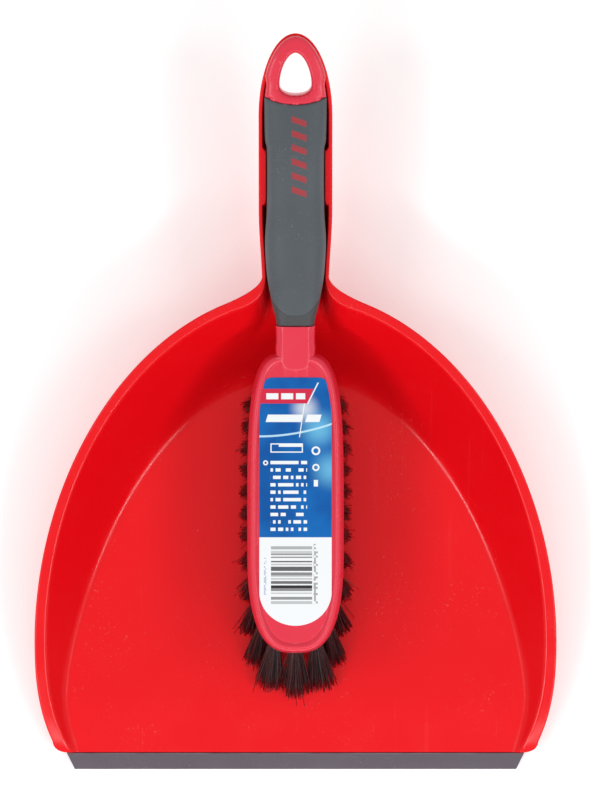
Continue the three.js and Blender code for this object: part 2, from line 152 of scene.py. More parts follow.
def edge_drop(radius, gap):
    """How far a quarter-round edge lies below the face, at a distance from the side."""
    return radius - np.sqrt(np.maximum(0, radius**2 - np.clip(radius - gap, 0, None) ** 2))


# %% [markdown]
# ## The pan's plan
#
# Seen from above, the rim is two halves of a superellipse, |x/a|^p + |y/b|^p = 1: a long one towards the
# handle and a short, squarer one towards the lip. The rim climbs from the lip to the handle, and the
# trough of the handle carries on in the plane that the rim has at the back.

# %% Rim, floor and trough, as functions of the plan
RIM_HALF = pan_high[0]
PAN_FRONT = pan_low[1]
FRONT_TO_WIDEST = 47.9
WIDEST_Y = PAN_FRONT + FRONT_TO_WIDEST
BACK_LENGTH, BACK_POWER = 154.5, 1.95
FRONT_LENGTH, FRONT_POWER = 90.5, 2.5
RIM_BACK = WIDEST_Y + BACK_LENGTH
RIM_FRONT_Z, RIM_CLIMB, RIM_POWER = 5.5, 41.5, 0.75
FLANGE_WIDTH, FLANGE_NARROWING = 5.0, 0.8
WALL = 2.2
WALL_SLOPE = 1.376
RAMP_LENGTH, RIDGE_TOP, RIDGE_ROUND, EDGE_TOP, FLAT_Y = 21.1, 5.8, 0.5, 3.4, -62.0
RIDGE_Y = PAN_FRONT + RAMP_LENGTH
RISE = math.atan(RIM_CLIMB * RIM_POWER / (RIM_BACK - PAN_FRONT))

TROUGH_MOUTH, TROUGH_HALF, TROUGH_FULL_AT = 14.4, 15.9, 35.0
NOSE_AT, NOSE_LENGTH = 75.5, 35.5
TROUGH_WALL, TROUGH_DEPTH = 1.6, 11.5
FLARE_X, FLARE_TO = 31.0, 6.0
LUG_FROM, LUG_TO, LUG_REACH, LUG_BEND = 37.5, 60.5, 12.75, 1.2


def along(y):
    """Distance along the trough, from the back of the rim, of a place at y."""
    return (y - RIM_BACK) / math.cos(RISE)


def rim_plane(y):
    """Height of the rim: a power curve up to the handle, then its tangent."""
    part = np.clip((y - PAN_FRONT) / (RIM_BACK - PAN_FRONT), 1e-3, 1)
    return RIM_FRONT_Z + RIM_CLIMB * part**RIM_POWER + np.maximum(0, y - RIM_BACK) * math.tan(RISE)


def floor_top(y):
    """Height of the floor's upper face: flat, an eased climb to the ridge, then a ramp to the lip."""
    climb = RIDGE_TOP + (WALL - RIDGE_TOP) * ease((y - RIDGE_Y) / (FLAT_Y - RIDGE_Y))
    ramp = EDGE_TOP + (RIDGE_TOP - EDGE_TOP) * (y - PAN_FRONT) / (RIDGE_Y - PAN_FRONT)
    return soft_min(climb, ramp, RIDGE_ROUND)


def rim_outline(angle):
    """Points of the rim's outer edge and the inward direction square to it; 0 is the widest point."""
    back = angle >= 0
    power = np.where(back, BACK_POWER, FRONT_POWER)
    length = np.where(back, BACK_LENGTH, FRONT_LENGTH)
    x = RIM_HALF * np.abs(np.cos(angle)) ** (2 / power)
    reach = length * np.abs(np.sin(angle)) ** (2 / power)
    inward = np.stack([-(x / RIM_HALF) ** (power - 1) / RIM_HALF,
                       np.where(back, -1, 1) * (reach / length) ** (power - 1) / length], -1)
    inward /= np.linalg.norm(inward, axis=1, keepdims=True)
    return np.stack([x, WIDEST_Y + np.where(back, reach, -reach)], -1), inward


def flange_width(y):
    """The flat of the rim narrows a little towards the handle."""
    return FLANGE_WIDTH - FLANGE_NARROWING * ease((y - PAN_FRONT) / (RIM_BACK - PAN_FRONT))


def trough_half(distance):
    """Half width outside: an eased widening from the mouth, then an ellipse round the nose."""
    side = TROUGH_MOUTH + (TROUGH_HALF - TROUGH_MOUTH) * ease(distance / TROUGH_FULL_AT)
    past = np.clip((distance - NOSE_AT) / NOSE_LENGTH, 0, 1)
    return side * np.sqrt(1 - past**2)


def trough_wall(y):
    """Wall thickness, with the two lugs that hold the grip at its waist."""
    distance = along(y)
    past_start = ease((distance - LUG_FROM + LUG_BEND) / LUG_BEND)
    in_lug = past_start * ease((LUG_TO + LUG_BEND - distance) / LUG_BEND)
    return TROUGH_WALL + (TROUGH_HALF - TROUGH_WALL - LUG_REACH) * in_lug


print("rise of the trough, degrees:", round(math.degrees(RISE), 2))


# %% [markdown]
# ## The pan as two heights over one plan
#
# No part of the pan hides another from above, so its upper face is one height over the plan, and so is
# its underside. The hollow is the union of a bowl with sloping walls and a trough with steep ones. At a
# given depth below the rim each hollow is open a certain distance inside its own outline, so the depth
# is found by halving an interval until the two, joined with a rounded corner, just close. That rounded
# corner is what makes the smooth funnel where the handle leaves the bowl.

# %% How far inside each outline a point lies
BATCH = 4000


def distance_inside(points, curve, inside):
    """Distance from each point to the nearest point of a dense curve, positive on the inside."""
    nearest = np.empty(len(points))
    for start in range(0, len(points), BATCH):
        part = points[start:start + BATCH]
        gap = part[:, None, :] - curve[None, :, :]
        nearest[start:start + BATCH] = np.sqrt((gap**2).sum(-1).min(1))
    return np.where(inside, nearest, -nearest)


def bowl_distance(points):
    """How far inside the rim's outer edge a point lies; the curve runs on a little past the middle line."""
    turn = np.linspace(-0.7, math.pi / 2 + 0.25, 900)
    curve, _ = rim_outline(turn)
    curve[:, 0] *= np.where(turn > math.pi / 2, -1, 1)
    back = points[:, 1] >= WIDEST_Y
    power = np.where(back, BACK_POWER, FRONT_POWER)
    length = np.where(back, BACK_LENGTH, FRONT_LENGTH)
    level = (np.abs(points[:, 0]) / RIM_HALF) ** power + (np.abs(points[:, 1] - WIDEST_Y) / length) ** power
    return distance_inside(points, curve, level < 1)


def trough_distance(points):
    """How far inside the trough's outside a point lies; the trough runs on straight into the bowl."""
    turn = np.sin(np.linspace(0, math.pi / 2, 200)) * NOSE_LENGTH + NOSE_AT
    distance = np.concatenate([np.linspace(-30, NOSE_AT, 300), turn])
    y = RIM_BACK + distance * math.cos(RISE)
    right = np.stack([trough_half(distance), y], -1)
    curve = np.vstack([right, right[-60:] * [-1, 1]])
    inside = (np.abs(points[:, 0]) < trough_half(along(points[:, 1]))) & (points[:, 1] < y[-1])
    return distance_inside(points, curve, inside)


# %% Depth of the joined hollows
LEAST_DEPTH, MOST_DEPTH, HALVINGS = -12.0, 60.0, 26
FUNNEL_ROUND, TROUGH_FLOOR_ROUND = 11.0, 1.5
EDGE_ROUND, FLANGE_ROUND, UNDER_FLANGE_ROUND, UNDER_FLOOR_ROUND = 0.8, 1.2, 1.0, 2.0
TROUGH_SLOPE_IN, TROUGH_SLOPE_OUT = 9.0, 9.8
CREASE_FROM, CREASE_RUN, CREASE_ROUND, CREASE_ROUND_MORE = -110.0, 110.0, 2.8, 4.2


def hollow_depth(bowl, trough, trough_slope, trough_floor):
    """Depth at which the joined hollows close, by halving an interval."""
    low = np.full(len(bowl), LEAST_DEPTH)
    high = np.full(len(bowl), MOST_DEPTH)
    for _ in range(HALVINGS):
        middle = (low + high) / 2
        in_trough = soft_min(trough - middle / trough_slope, trough_floor - middle, TROUGH_FLOOR_ROUND)
        is_open = soft_max(bowl - middle / WALL_SLOPE, in_trough, FUNNEL_ROUND) > 0
        low = np.where(is_open, middle, low)
        high = np.where(is_open, high, middle)
    return low


def pan_heights(points, edge_distance):
    """Heights of the upper face and the underside over plan points on the right half."""
    y = points[:, 1]
    rim = rim_plane(y)
    bowl = bowl_distance(points) - flange_width(y)
    trough = trough_distance(points)
    rounding = edge_drop(EDGE_ROUND, edge_distance)
    crease_round = CREASE_ROUND + CREASE_ROUND_MORE * ease((y - CREASE_FROM) / CREASE_RUN)
    upper_depth = hollow_depth(bowl, trough - trough_wall(y), TROUGH_SLOPE_IN, TROUGH_DEPTH)
    upper = rim - rounding - soft_max(upper_depth, 0 * rim, FLANGE_ROUND)
    upper = soft_max(upper, floor_top(y), crease_round)
    under_shift = WALL * math.hypot(1, 1 / WALL_SLOPE)
    lower_depth = hollow_depth(bowl + under_shift, trough, TROUGH_SLOPE_OUT, TROUGH_DEPTH + WALL)
    lower = rim - soft_max(lower_depth, WALL + 0 * rim, UNDER_FLANGE_ROUND) + 0.5 * rounding
    lower = soft_max(lower, floor_top(y) - WALL, UNDER_FLOOR_ROUND)
    return upper, lower


# %% Plan rows: each runs from the outer edge by the crease to the middle line
CORNER_ANGLE, LEAST_RUN = -0.405, 0.3


def bezier(a, b, c, count):
    """A parabola from a to c that leaves a towards b and reaches c from b."""
    t = np.linspace(0, 1, count)[:, None]
    return (1 - t) ** 2 * np.array(a) + 2 * t * (1 - t) * np.array(b) + t**2 * np.array(c)


def crease_points(edge, inward):
    """Where the wall meets the floor, square in from each point of the rim."""
    y = edge[:, 1]
    run = np.maximum(LEAST_RUN, (rim_plane(y) - floor_top(y)) / WALL_SLOPE)
    return edge + inward * (flange_width(y) + run)[:, None]


flare_angle = math.acos((FLARE_X / RIM_HALF) ** (BACK_POWER / 2))
side_angles = np.concatenate([np.linspace(CORNER_ANGLE, 0, 40)[:-1], np.linspace(0, flare_angle, 120)])
rim_edge, rim_inward = rim_outline(side_angles)
rim_crease = crease_points(rim_edge, rim_inward)
front_edge, front_inward = rim_outline(np.linspace(-0.62, 0, 120))
front_crease = crease_points(front_edge, front_inward)
is_front = side_angles < 0
rim_crease[is_front, 0] = np.interp(rim_edge[is_front, 1], front_crease[:, 1], front_crease[:, 0])
rim_crease[is_front, 1] = rim_edge[is_front, 1]

LIP_HALF = lip_high[0]
corner_edge = bezier([LIP_HALF, PAN_FRONT], [rim_edge[0, 0] - 0.4, PAN_FRONT + 0.4], rim_edge[0], 16)[:-1]
corner_x = np.interp(corner_edge[:, 1], front_crease[:, 1], front_crease[:, 0])
corner_crease = np.stack([np.minimum(corner_x, corner_edge[:, 0] - 1.5), corner_edge[:, 1]], -1)

tangent = -rim_inward[-1, 0] / rim_inward[-1, 1]
flare_end = np.array([TROUGH_MOUTH + 0.05, RIM_BACK + FLARE_TO * math.cos(RISE)])
flare_middle = [flare_end[0], rim_edge[-1, 1] + tangent * (flare_end[0] - rim_edge[-1, 0])]
flare_edge = bezier(rim_edge[-1], flare_middle, flare_end, 64)[1:]
trough_base = np.array([flare_end[0] - TROUGH_WALL - 1.4, flare_end[1]])
part = np.linspace(0, 1, 64)[1:, None]
flare_crease = rim_crease[-1] * (1 - part) + trough_base * part

nose_turn = NOSE_AT + NOSE_LENGTH * np.sin(np.linspace(0, math.pi / 2, 40))
straight = np.linspace(FLARE_TO, NOSE_AT, 84)[1:]
trough_at = np.concatenate([straight, nose_turn[1:]])
trough_edge = np.stack([trough_half(trough_at), RIM_BACK + trough_at * math.cos(RISE)], -1)
base_shift = TROUGH_WALL + 1.6
past = np.clip((trough_at - NOSE_AT) / NOSE_LENGTH, 0, 1)
base_half = (trough_half(np.minimum(trough_at, NOSE_AT)) - base_shift) * np.sqrt(1 - past**2)
base_at = np.where(past > 0, NOSE_AT + past * (NOSE_LENGTH - base_shift), trough_at)
trough_crease = np.stack([base_half, RIM_BACK + base_at * math.cos(RISE)], -1)

edge = np.vstack([corner_edge, rim_edge, flare_edge, trough_edge])
crease = np.vstack([corner_crease, rim_crease, flare_crease, trough_crease])
print("rows of the pan's plan:", len(edge))


# %% [markdown]
# A row needs most of its points where the section bends: at the edges of the flange, at the foot of the
# wall and at the trough's steep sides. Each row is first sampled densely, and its columns are then spaced
# so that each holds the same share of length plus bend.

# %% Columns where the section bends
def row_points(edge, crease, fractions):
    """Points on the broken line edge, crease, middle line, at fractions of its whole length."""
    middle = np.stack([0 * crease[:, 0], crease[:, 1]], -1)
    first = np.linalg.norm(crease - edge, axis=1)[:, None]
    second = np.linalg.norm(middle - crease, axis=1)[:, None]
    distance = fractions * (first + second)
    near = np.clip(distance / first, 0, 1)[..., None]
    far = np.clip((distance - first) / np.maximum(second, 1e-9), 0, 1)[..., None]
    on_wall = edge[:, None, :] * (1 - near) + crease[:, None, :] * near
    return on_wall * (1 - far) + middle[:, None, :] * far, distance


def heights_on(plan, distance):
    """Both faces of the pan over a grid of plan points."""
    upper, lower = pan_heights(plan.reshape(-1, 2), distance.reshape(-1))
    return upper.reshape(distance.shape), lower.reshape(distance.shape)


SAMPLES, COLUMNS, EDGE_CROWDING = 220, 58, 1.35
MOST_BEND, BEND_SHARE, EDGE_SHARE = 2.5, 0.09, 0.25


def slope_change(height, step):
    """How much a row's slope changes at each inner sample."""
    return np.abs(np.diff(np.diff(height, axis=1) / step, axis=1))


even = np.broadcast_to(np.linspace(0, 1, SAMPLES) ** EDGE_CROWDING, (len(edge), SAMPLES))
plan, distance = row_points(edge, crease, even)
upper, lower = heights_on(plan, distance)
step = np.maximum(np.diff(distance, axis=1), 1e-6)
bend = np.pad(slope_change(upper, step) + 0.6 * slope_change(lower, step), ((0, 0), (1, 0)))
weight = step / distance[:, -1:].clip(1) + BEND_SHARE * np.minimum(bend, MOST_BEND)
weight = weight + EDGE_SHARE * step / (2 + distance[:, :-1])
kernel = np.ones(5) / 5
weight = np.apply_along_axis(lambda line: np.convolve(np.pad(line, 2, "edge"), kernel, "valid"), 0, weight)
share = np.pad(np.cumsum(weight, axis=1), ((0, 0), (1, 0)))
share /= share[:, -1:]
target = np.linspace(0, 1, COLUMNS)
fractions = np.stack([np.interp(target, line, pos) for line, pos in zip(share, even)])
plan, distance = row_points(edge, crease, fractions)
upper, lower = heights_on(plan, distance)


# %% Both faces, the outer edge and the front edge
def with_mirror(grid):
    """A right half, then its mirror image from the middle line outwards."""
    return np.concatenate([grid, grid[:, -2::-1] * [-1, 1, 1]], axis=1)


top = with_mirror(np.dstack([plan, upper]))
bottom = with_mirror(np.dstack([plan, lower]))
rim_strip_right = np.stack([top[:, 0], bottom[:, 0]], axis=1)
rim_strip_left = np.stack([top[:, -1], bottom[:, -1]], axis=1)
front_strip = np.stack([top[0], bottom[0]])
dust_pan = mesh_from("dust_pan", [top, bottom, rim_strip_right, rim_strip_left, front_strip])
print("dust pan:", len(dust_pan.data.polygons), "faces,", open_edges(dust_pan), "open edges")


# %% [markdown]
# ## The soft lip
#
# The lip is an extruded rubber wedge, so it is one section carried along X, with ends that slant in
# towards its thin edge. The section is a short closed curve, with its corners rounded by listed points.

# %% Soft lip
def smooth_curve(points, count, closed=False):
    """A Catmull-Rom curve through the points: every span is a cubic with shared slopes at its ends."""
    points = np.array(points, float)
    if closed:
        padded = np.vstack([points[-1:], points, points[:2]])
    else:
        padded = np.vstack([2 * points[0] - points[1], points, 2 * points[-1] - points[-2]])
    spans = len(padded) - 3
    place = np.linspace(0, spans, count)
    span = np.minimum(place.astype(int), spans - 1)
    t = (place - span)[:, None]
    a, b, c, d = (padded[span + k] for k in range(4))
    return 0.5 * (2 * b + (c - a) * t + (2 * a - 5 * b + 4 * c - d) * t**2 + (3 * b - a - 3 * c + d) * t**3)


LIP_TIP, LIP_BACK, LIP_ROOT_TOP = lip_low[1], lip_high[1], lip_high[2]
LIP_TIP_TOP, LIP_TAIL, LIP_SLANT = 0.75, 1.0, 3.6
GAP = 0.3


def lip_section():
    """Closed section of the lip: (y, z) from the tail's end, under the floor and round the thin edge."""
    root = PAN_FRONT - GAP
    return np.array([
        (LIP_BACK, 0.1), (LIP_BACK - 0.2, 0), (root, 0), (LIP_TIP + 0.5, 0), (LIP_TIP + 0.1, 0.12),
        (LIP_TIP, 0.4), (LIP_TIP + 0.12, 0.66), (LIP_TIP + 0.5, LIP_TIP_TOP),
        (LIP_TIP + 2.4, LIP_TIP_TOP + 0.7),
        (LIP_TIP + 4.8, LIP_TIP_TOP + 1.75), (root - 0.7, LIP_ROOT_TOP - 0.12), (root - 0.3, LIP_ROOT_TOP),
        (root - 0.05, LIP_ROOT_TOP - 0.1), (root, LIP_ROOT_TOP - 0.4), (root, 0.95), (root + 0.4, 0.85),
        (LIP_BACK - 0.2, LIP_TAIL), (LIP_BACK, LIP_TAIL - 0.2), (LIP_BACK, 0.1)])


section = lip_section()
half_width = np.interp(section[:, 0], [LIP_TIP, PAN_FRONT, LIP_BACK],
                       [LIP_HALF - LIP_SLANT, LIP_HALF, LIP_HALF - LIP_SLANT])
across = np.concatenate([[-1, -0.999, -0.996], np.linspace(-0.98, 0.98, 60), [0.996, 0.999, 1]])
lip_grid = np.empty((len(across), len(section), 3))
lip_grid[..., 0] = across[:, None] * half_width
lip_grid[..., 1:] = section
lip_caps = []
for end in (lip_grid[0], lip_grid[-1]):
    pole = np.array([0, LIP_TIP + 6, 0.8]) + [end[7, 0], 0, 0]
    lip_caps.append(np.stack([end, np.broadcast_to(pole, end.shape)]))
soft_lip = mesh_from("soft_lip", [lip_grid, *lip_caps], 35)
print("soft lip:", len(soft_lip.data.polygons), "faces,", open_edges(soft_lip), "open edges")


# %% [markdown]
# ## The brush moulding
#
# The head is one profile carried round a superellipse: its side leans in a little, a rounded bead runs
# along the top, and the deck inside the bead is flat. The neck is a row of squarish ovals that dives into
# the deck, and the loop for hanging is a ring whose section changes from place to place. The three are
# closed surfaces, and a boolean union makes them one moulding with crisp lines where they meet.

# %% Brush head
HEAD_HALF = 21.0
HEAD_MIDDLE = -59.4
HEAD_FRONT, HEAD_FRONT_POWER = 48.2, 2.8
HEAD_BACK, HEAD_BACK_POWER = 82.3, 4.2
HEAD_BOTTOM, DECK = 36.0, 49.5


def head_outline(angle, inset):
    """Outline of the head: two halves of a superellipse, with their axes shortened by inset."""
    back = np.sin(angle) >= 0
    power = np.where(back, HEAD_BACK_POWER, HEAD_FRONT_POWER)
    length = np.where(back, HEAD_BACK, HEAD_FRONT) - inset
    cosine, sine = np.cos(angle), np.sin(angle)
    x = (HEAD_HALF - inset) * signed_power(cosine, 2 / power)
    y = HEAD_MIDDLE + length * signed_power(sine, 2 / power)
    return x, y


profile = smooth_curve([
    (1.2, HEAD_BOTTOM), (0.5, HEAD_BOTTOM + 0.15), (0.08, HEAD_BOTTOM + 0.6), (0.05, HEAD_BOTTOM + 2),
    (0.35, 42), (0.9, 46.5), (1.3, 48.6), (1.65, 49.5), (2.2, 50.1), (3.0, 50.45), (3.8, 50.15),
    (4.4, 49.7), (4.75, 49.4), (5.1, 49.4), (5.6, DECK - 0.02), (6.4, DECK)], 80)
turn = np.linspace(0, 2 * math.pi, 181)
head_x, head_y = head_outline(turn[None, :], profile[:, :1])
head_grid = np.stack([head_x, head_y, np.broadcast_to(profile[:, 1:], head_x.shape)], -1)
underside_pole = np.broadcast_to([0, HEAD_MIDDLE, HEAD_BOTTOM], head_grid[0].shape)
deck_pole = np.broadcast_to([0, HEAD_MIDDLE, DECK], head_grid[0].shape)
brush_moulding = mesh_from("brush_moulding", [np.stack([underside_pole, head_grid[0]]), head_grid,
                                              np.stack([head_grid[-1], deck_pole])], 50)
print("brush head:", open_edges(brush_moulding), "open edges")


# %% Brush handle in the frame of the trough
# Each station holds: distance along the trough, half width, top and bottom.
STATIONS = np.array([
    (-44, 8.2, 3.0, -4.5), (-39, 8.4, 5.4, -5.2), (-35, 8.5, 7.6, -5.7), (-31, 8.6, 8.15, -6.3),
    (-15, 8.6, 8.5, -9.0), (-3.5, 11.2, 9.0, -10.2),
    (8, 12.6, 9.2, -10.6), (21.5, 13.2, 9.2, -10.6), (36, 12.4, 9.0, -10.6), (60, 12.4, 8.1, -10.3),
    (65.5, 13.2, 7.6, -10.0), (82, 13.55, 5.6, -8.0)])
GRIP_FROM, GRIP_TO, GRIP_DIP, GRIP_THICK = -15.0, 87.2, 4.4, 2.2
handle_line = smooth_curve(STATIONS, 400)


def in_trough(x, distance, height):
    """Turns places in the trough's own frame into places in the object's frame."""
    y = RIM_BACK + distance * math.cos(RISE) - height * math.sin(RISE)
    z = RIM_FRONT_Z + RIM_CLIMB + distance * math.sin(RISE) + height * math.cos(RISE)
    return np.stack(np.broadcast_arrays(x, y, z), -1)


def handle_size(distance):
    """Half width, top and bottom of the handle at a distance along the trough."""
    return [np.interp(distance, handle_line[:, 0], handle_line[:, k]) for k in (1, 2, 3)]


def handle_ring(angle, half, top, bottom, squareness):
    """A squarish oval: cosine and sine raised to a power; 0 degrees points up."""
    sine, cosine = np.sin(angle), np.cos(angle)
    height = (top + bottom) / 2 + (top - bottom) / 2 * signed_power(cosine, squareness)
    return half * signed_power(sine, squareness), height


def faceted_ring(angle, half, top, bottom):
    """A box with chamfered edges: corners of a half outline, joined by lines and slightly rounded."""
    corners = np.array([(0, 1), (0.68, 0.99), (0.97, 0.72), (1, 0.5), (1, -0.5), (0.8, -0.9), (0.6, -1),
                        (0, -1)])
    length = np.concatenate([[0], np.cumsum(np.hypot(*np.diff(corners * [1, 0.8], axis=0).T))])
    part = np.arctan2(np.sin(angle), np.cos(angle)) / math.pi * length[-1]
    near = part + np.array([-0.05, -0.025, 0, 0.025, 0.05])[:, None, None]
    x = (np.sign(near) * np.interp(np.abs(near), length, corners[:, 0])).mean(0)
    height = np.interp(np.abs(near), length, corners[:, 1]).mean(0)
    return half * x, (top + bottom) / 2 + (top - bottom) / 2 * height


def squareness_at(distance):
    """The neck is nearly square, and the grip is rounder."""
    return 0.42 + 0.33 * ease((distance + 16) / 22)


# %% Neck and core
NECK_FROM, CORE_TO = -44, 80
TONGUE_FROM, TONGUE_RUN, TONGUE_BOW = -22, 10, 8.0
neck_part = np.linspace(NECK_FROM, GRIP_FROM - 0.2, 50)
distance = np.concatenate([neck_part, np.linspace(GRIP_FROM, CORE_TO, 40)])[:, None]
turn = np.linspace(0, 2 * math.pi, 97)[None, :]
half, top_height, bottom_height = handle_size(distance)
is_neck = distance < GRIP_FROM - 0.1
inset = np.where(is_neck, 0, GRIP_THICK)
x, height = handle_ring(turn, half - inset, top_height - inset, bottom_height + inset,
                        squareness_at(distance))
neck_x, neck_height = faceted_ring(turn, half, top_height, bottom_height)
bow = TONGUE_BOW * ease((TONGUE_FROM - distance) / TONGUE_RUN) * (np.abs(neck_x) / half) ** 3
core_grid = in_trough(np.where(is_neck, neck_x, x), distance + bow, np.where(is_neck, neck_height, height))


def with_ends(grid, start, end):
    """Closes both ends of a tube of rings with a fan round a point."""
    return [np.stack([np.broadcast_to(start, grid[0].shape), grid[0]]), grid,
            np.stack([grid[-1], np.broadcast_to(end, grid[-1].shape)])]


neck = mesh_from("neck", with_ends(core_grid, in_trough(0, NECK_FROM, 1), in_trough(0, CORE_TO, -1)), 50)
print("neck:", open_edges(neck), "open edges")
combine(brush_moulding, neck, "UNION")


# %% [markdown]
# ## The loop for hanging, and the hole through both pieces
#
# The loop is a ring round an egg-shaped hole. Each direction from the ring's centre meets the hole and the
# outside at two distances, and a squarish oval is carried round between them. It overhangs the trough's
# rim a little, and draws in lower down so that it drops in freely. A cutter with the same egg, slightly
# larger, makes the hole in the pan.

# %% Outlines of the loop
HOLE_MIDDLE, HOLE_UP, HOLE_DOWN, HOLE_HALF = 89.2, 13.4, 4.4, 6.8
HOLE_UP_POWER, HOLE_DOWN_POWER = 1.8, 2.2
LOOP_FROM, LOOP_BEND, LOOP_NOSE, LOOP_LENGTH, LOOP_HALF = 78.5, 87, 75.5, 33.2, 13.7
LOOP_SIDE, LOOP_EDGE = 13.5, 13.3
RING_CENTRE = 92.5
STEP_WIDTH, STEP_HIDDEN = 0.9, 0.55


def egg(angle, grow):
    """The hole's outline: a long half of low power towards the end, a short round one below."""
    up = np.sin(angle) >= 0
    power = np.where(up, HOLE_UP_POWER, HOLE_DOWN_POWER)
    reach = np.where(up, HOLE_UP, HOLE_DOWN) + grow
    x = (HOLE_HALF + grow) * signed_power(np.cos(angle), 2 / power)
    return x, HOLE_MIDDLE + reach * signed_power(np.sin(angle), 2 / power)


def grip_edge(x):
    """Distance along the trough where the grip ends: a parabola that dips on the middle line."""
    wide = 1.5 * LOOP_HALF
    t = 0.5 * (1 - x / wide)
    return GRIP_TO - 3 * GRIP_DIP * 2 * t * (1 - t)


def covered_by_grip(x, distance):
    """1 where the grip covers the loop and 0 past the grip's edge."""
    return 1 - ease((distance - grip_edge(x) + STEP_HIDDEN) / STEP_WIDTH)


def loop_outline():
    """Right half of the loop's outside, narrower where the grip covers it."""
    straight = np.linspace(LOOP_FROM, LOOP_BEND, 90)
    turn = np.linspace(math.asin((LOOP_BEND - LOOP_NOSE) / LOOP_LENGTH), math.pi / 2, 90)
    half = LOOP_HALF * np.sqrt(1 - ((straight - LOOP_NOSE) / LOOP_LENGTH) ** 2)
    half = np.minimum(half, LOOP_SIDE)
    side = np.stack([half - covered_by_grip(LOOP_EDGE, straight) * GRIP_THICK, straight], -1)
    nose = np.stack([LOOP_HALF * np.cos(turn), LOOP_NOSE + LOOP_LENGTH * np.sin(turn)], -1)
    return np.vstack([[0, LOOP_FROM], side, nose[1:]])


def radius_by_angle(points, angle):
    """Distance from the ring's centre to an outline, as a function of direction."""
    offset = points - [0, RING_CENTRE]
    direction = np.unwrap(np.arctan2(offset[:, 1], offset[:, 0]))
    order = np.argsort(direction)
    reach = np.hypot(offset[:, 0], offset[:, 1])
    return np.interp(angle, direction[order], reach[order], period=2 * math.pi)


# %% Hanging loop
LOOP_CROWN, LOOP_OVERHANG, OVERHANG_LEVEL, LOOP_DRAFT = 2.2, 1.3, 0.35, 0.4
RING_SQUARENESS = 0.55
angle = np.linspace(-math.pi, math.pi, 289)
outline = loop_outline()
outer_reach = radius_by_angle(np.vstack([outline, outline[::-1] * [-1, 1]]), angle)
egg_x, egg_y = egg(np.linspace(-math.pi, math.pi, 721), 0)
inner_reach = radius_by_angle(np.stack([egg_x, egg_y], -1), angle)
around = np.linspace(0, 2 * math.pi, 105)[:, None]
radial = signed_power(np.cos(around), RING_SQUARENESS)
rise_part = signed_power(np.sin(around), RING_SQUARENESS)
reach = (outer_reach + inner_reach) / 2 + (outer_reach - inner_reach) / 2 * radial


def loop_heights(x, along_loop):
    """Top and bottom of the loop: crowned across, thinner towards the end and stepped under the grip."""
    past = ease((along_loop - 80) / 16)
    covered = covered_by_grip(x, along_loop)
    fall = LOOP_CROWN * (x / LOOP_HALF) ** 2 + covered * GRIP_THICK + 1.3 * ease((along_loop - 98) / 11)
    return 5.7 - 0.8 * past - fall, -7.9 + 1.7 * past + fall


loop_top, loop_bottom = loop_heights(reach * np.cos(angle), RING_CENTRE + reach * np.sin(angle))
height = (loop_top + loop_bottom) / 2 + (loop_top - loop_bottom) / 2 * rise_part
overhang = LOOP_OVERHANG * ease((height - OVERHANG_LEVEL) / 0.5) * ease((np.sin(angle) + 0.35) / 0.4)
draft = LOOP_DRAFT * ease((-1 - height) / 3)
reach = reach + (overhang - draft) * ease((radial + 0.2) / 1.2)
x = reach * np.cos(angle)
along_loop = RING_CENTRE + reach * np.sin(angle)
loop = mesh_from("loop", [in_trough(x, along_loop, height)], 50)
print("loop:", open_edges(loop), "open edges")
combine(brush_moulding, loop, "UNION")
brush_moulding.data.shade_smooth()
brush_moulding.data.set_sharp_from_angle(angle=math.radians(40))
print("brush moulding:", len(brush_moulding.data.polygons), "faces")
print("brush moulding:", open_edges(brush_moulding), "open edges")


# %% The same hole through the pan, a little larger
HOLE_GAP, HOLE_FLARE = 0.8, 0.35
CUT_FROM, CUT_TO = -16.0, 2.0
cut_turn = np.linspace(-math.pi, math.pi, 97)[None, :]
cut_x, cut_along = egg(cut_turn, HOLE_GAP)
cut_level = np.array([CUT_FROM, -13.4, -12.9, -12.4, -11.9, -11.4, -10.9, CUT_TO])[:, None]
cut_flare = np.array([1.0, 0.45, 0.0, 0.0, 0.0, 0.0, 0.5, 1.0])[:, None] * HOLE_FLARE
cut_along = cut_along + cut_flare * np.sin(cut_turn)
cut_grid = in_trough(cut_x * (1 + cut_flare / HOLE_HALF), cut_along, cut_level)
cut_poles = [in_trough(0, RING_CENTRE, level) for level in (CUT_FROM, CUT_TO)]
cutter = mesh_from("cutter", with_ends(cut_grid, *cut_poles), 50)
combine(dust_pan, cutter, "DIFFERENCE")
dust_pan.data.shade_smooth()
dust_pan.data.set_sharp_from_angle(angle=math.radians(40))
print("dust pan, drilled:", len(dust_pan.data.polygons), "faces,", open_edges(dust_pan), "open edges")


# %% [markdown]
# ## The soft grip
#
# The grip is moulded over the handle's core. Its thumb pad stands a little proud of a collar, with a
# U-shaped line between them. The rows of the grid bend to follow that line, so the step stays sharp
# without a fine mesh everywhere, and the inner rows come back along the core to close the sleeve.

# %% Soft grip
PAD_STEP, PAD_BEND = 0.45, 0.9
PAD_LOW, PAD_ARC, PAD_SIDE = -10.3, 7.5, 22.5
GRIP_ROUND, GRIP_CLEARANCE = 0.7, 0.15


def to_side(angle):
    """How far round from the top an angle lies: 0 on top, 1 at either side, 2 below."""
    return np.abs(np.arctan2(np.sin(angle), np.cos(angle))) / (math.pi / 2)


def pad_line(angle):
    """Where the pad begins: an arc, low on the middle line and rising steeply down the sides."""
    side = np.minimum(to_side(angle), 1)
    return PAD_LOW + PAD_ARC * np.sin(side * math.pi / 2) ** 1.5 + PAD_SIDE * side**8


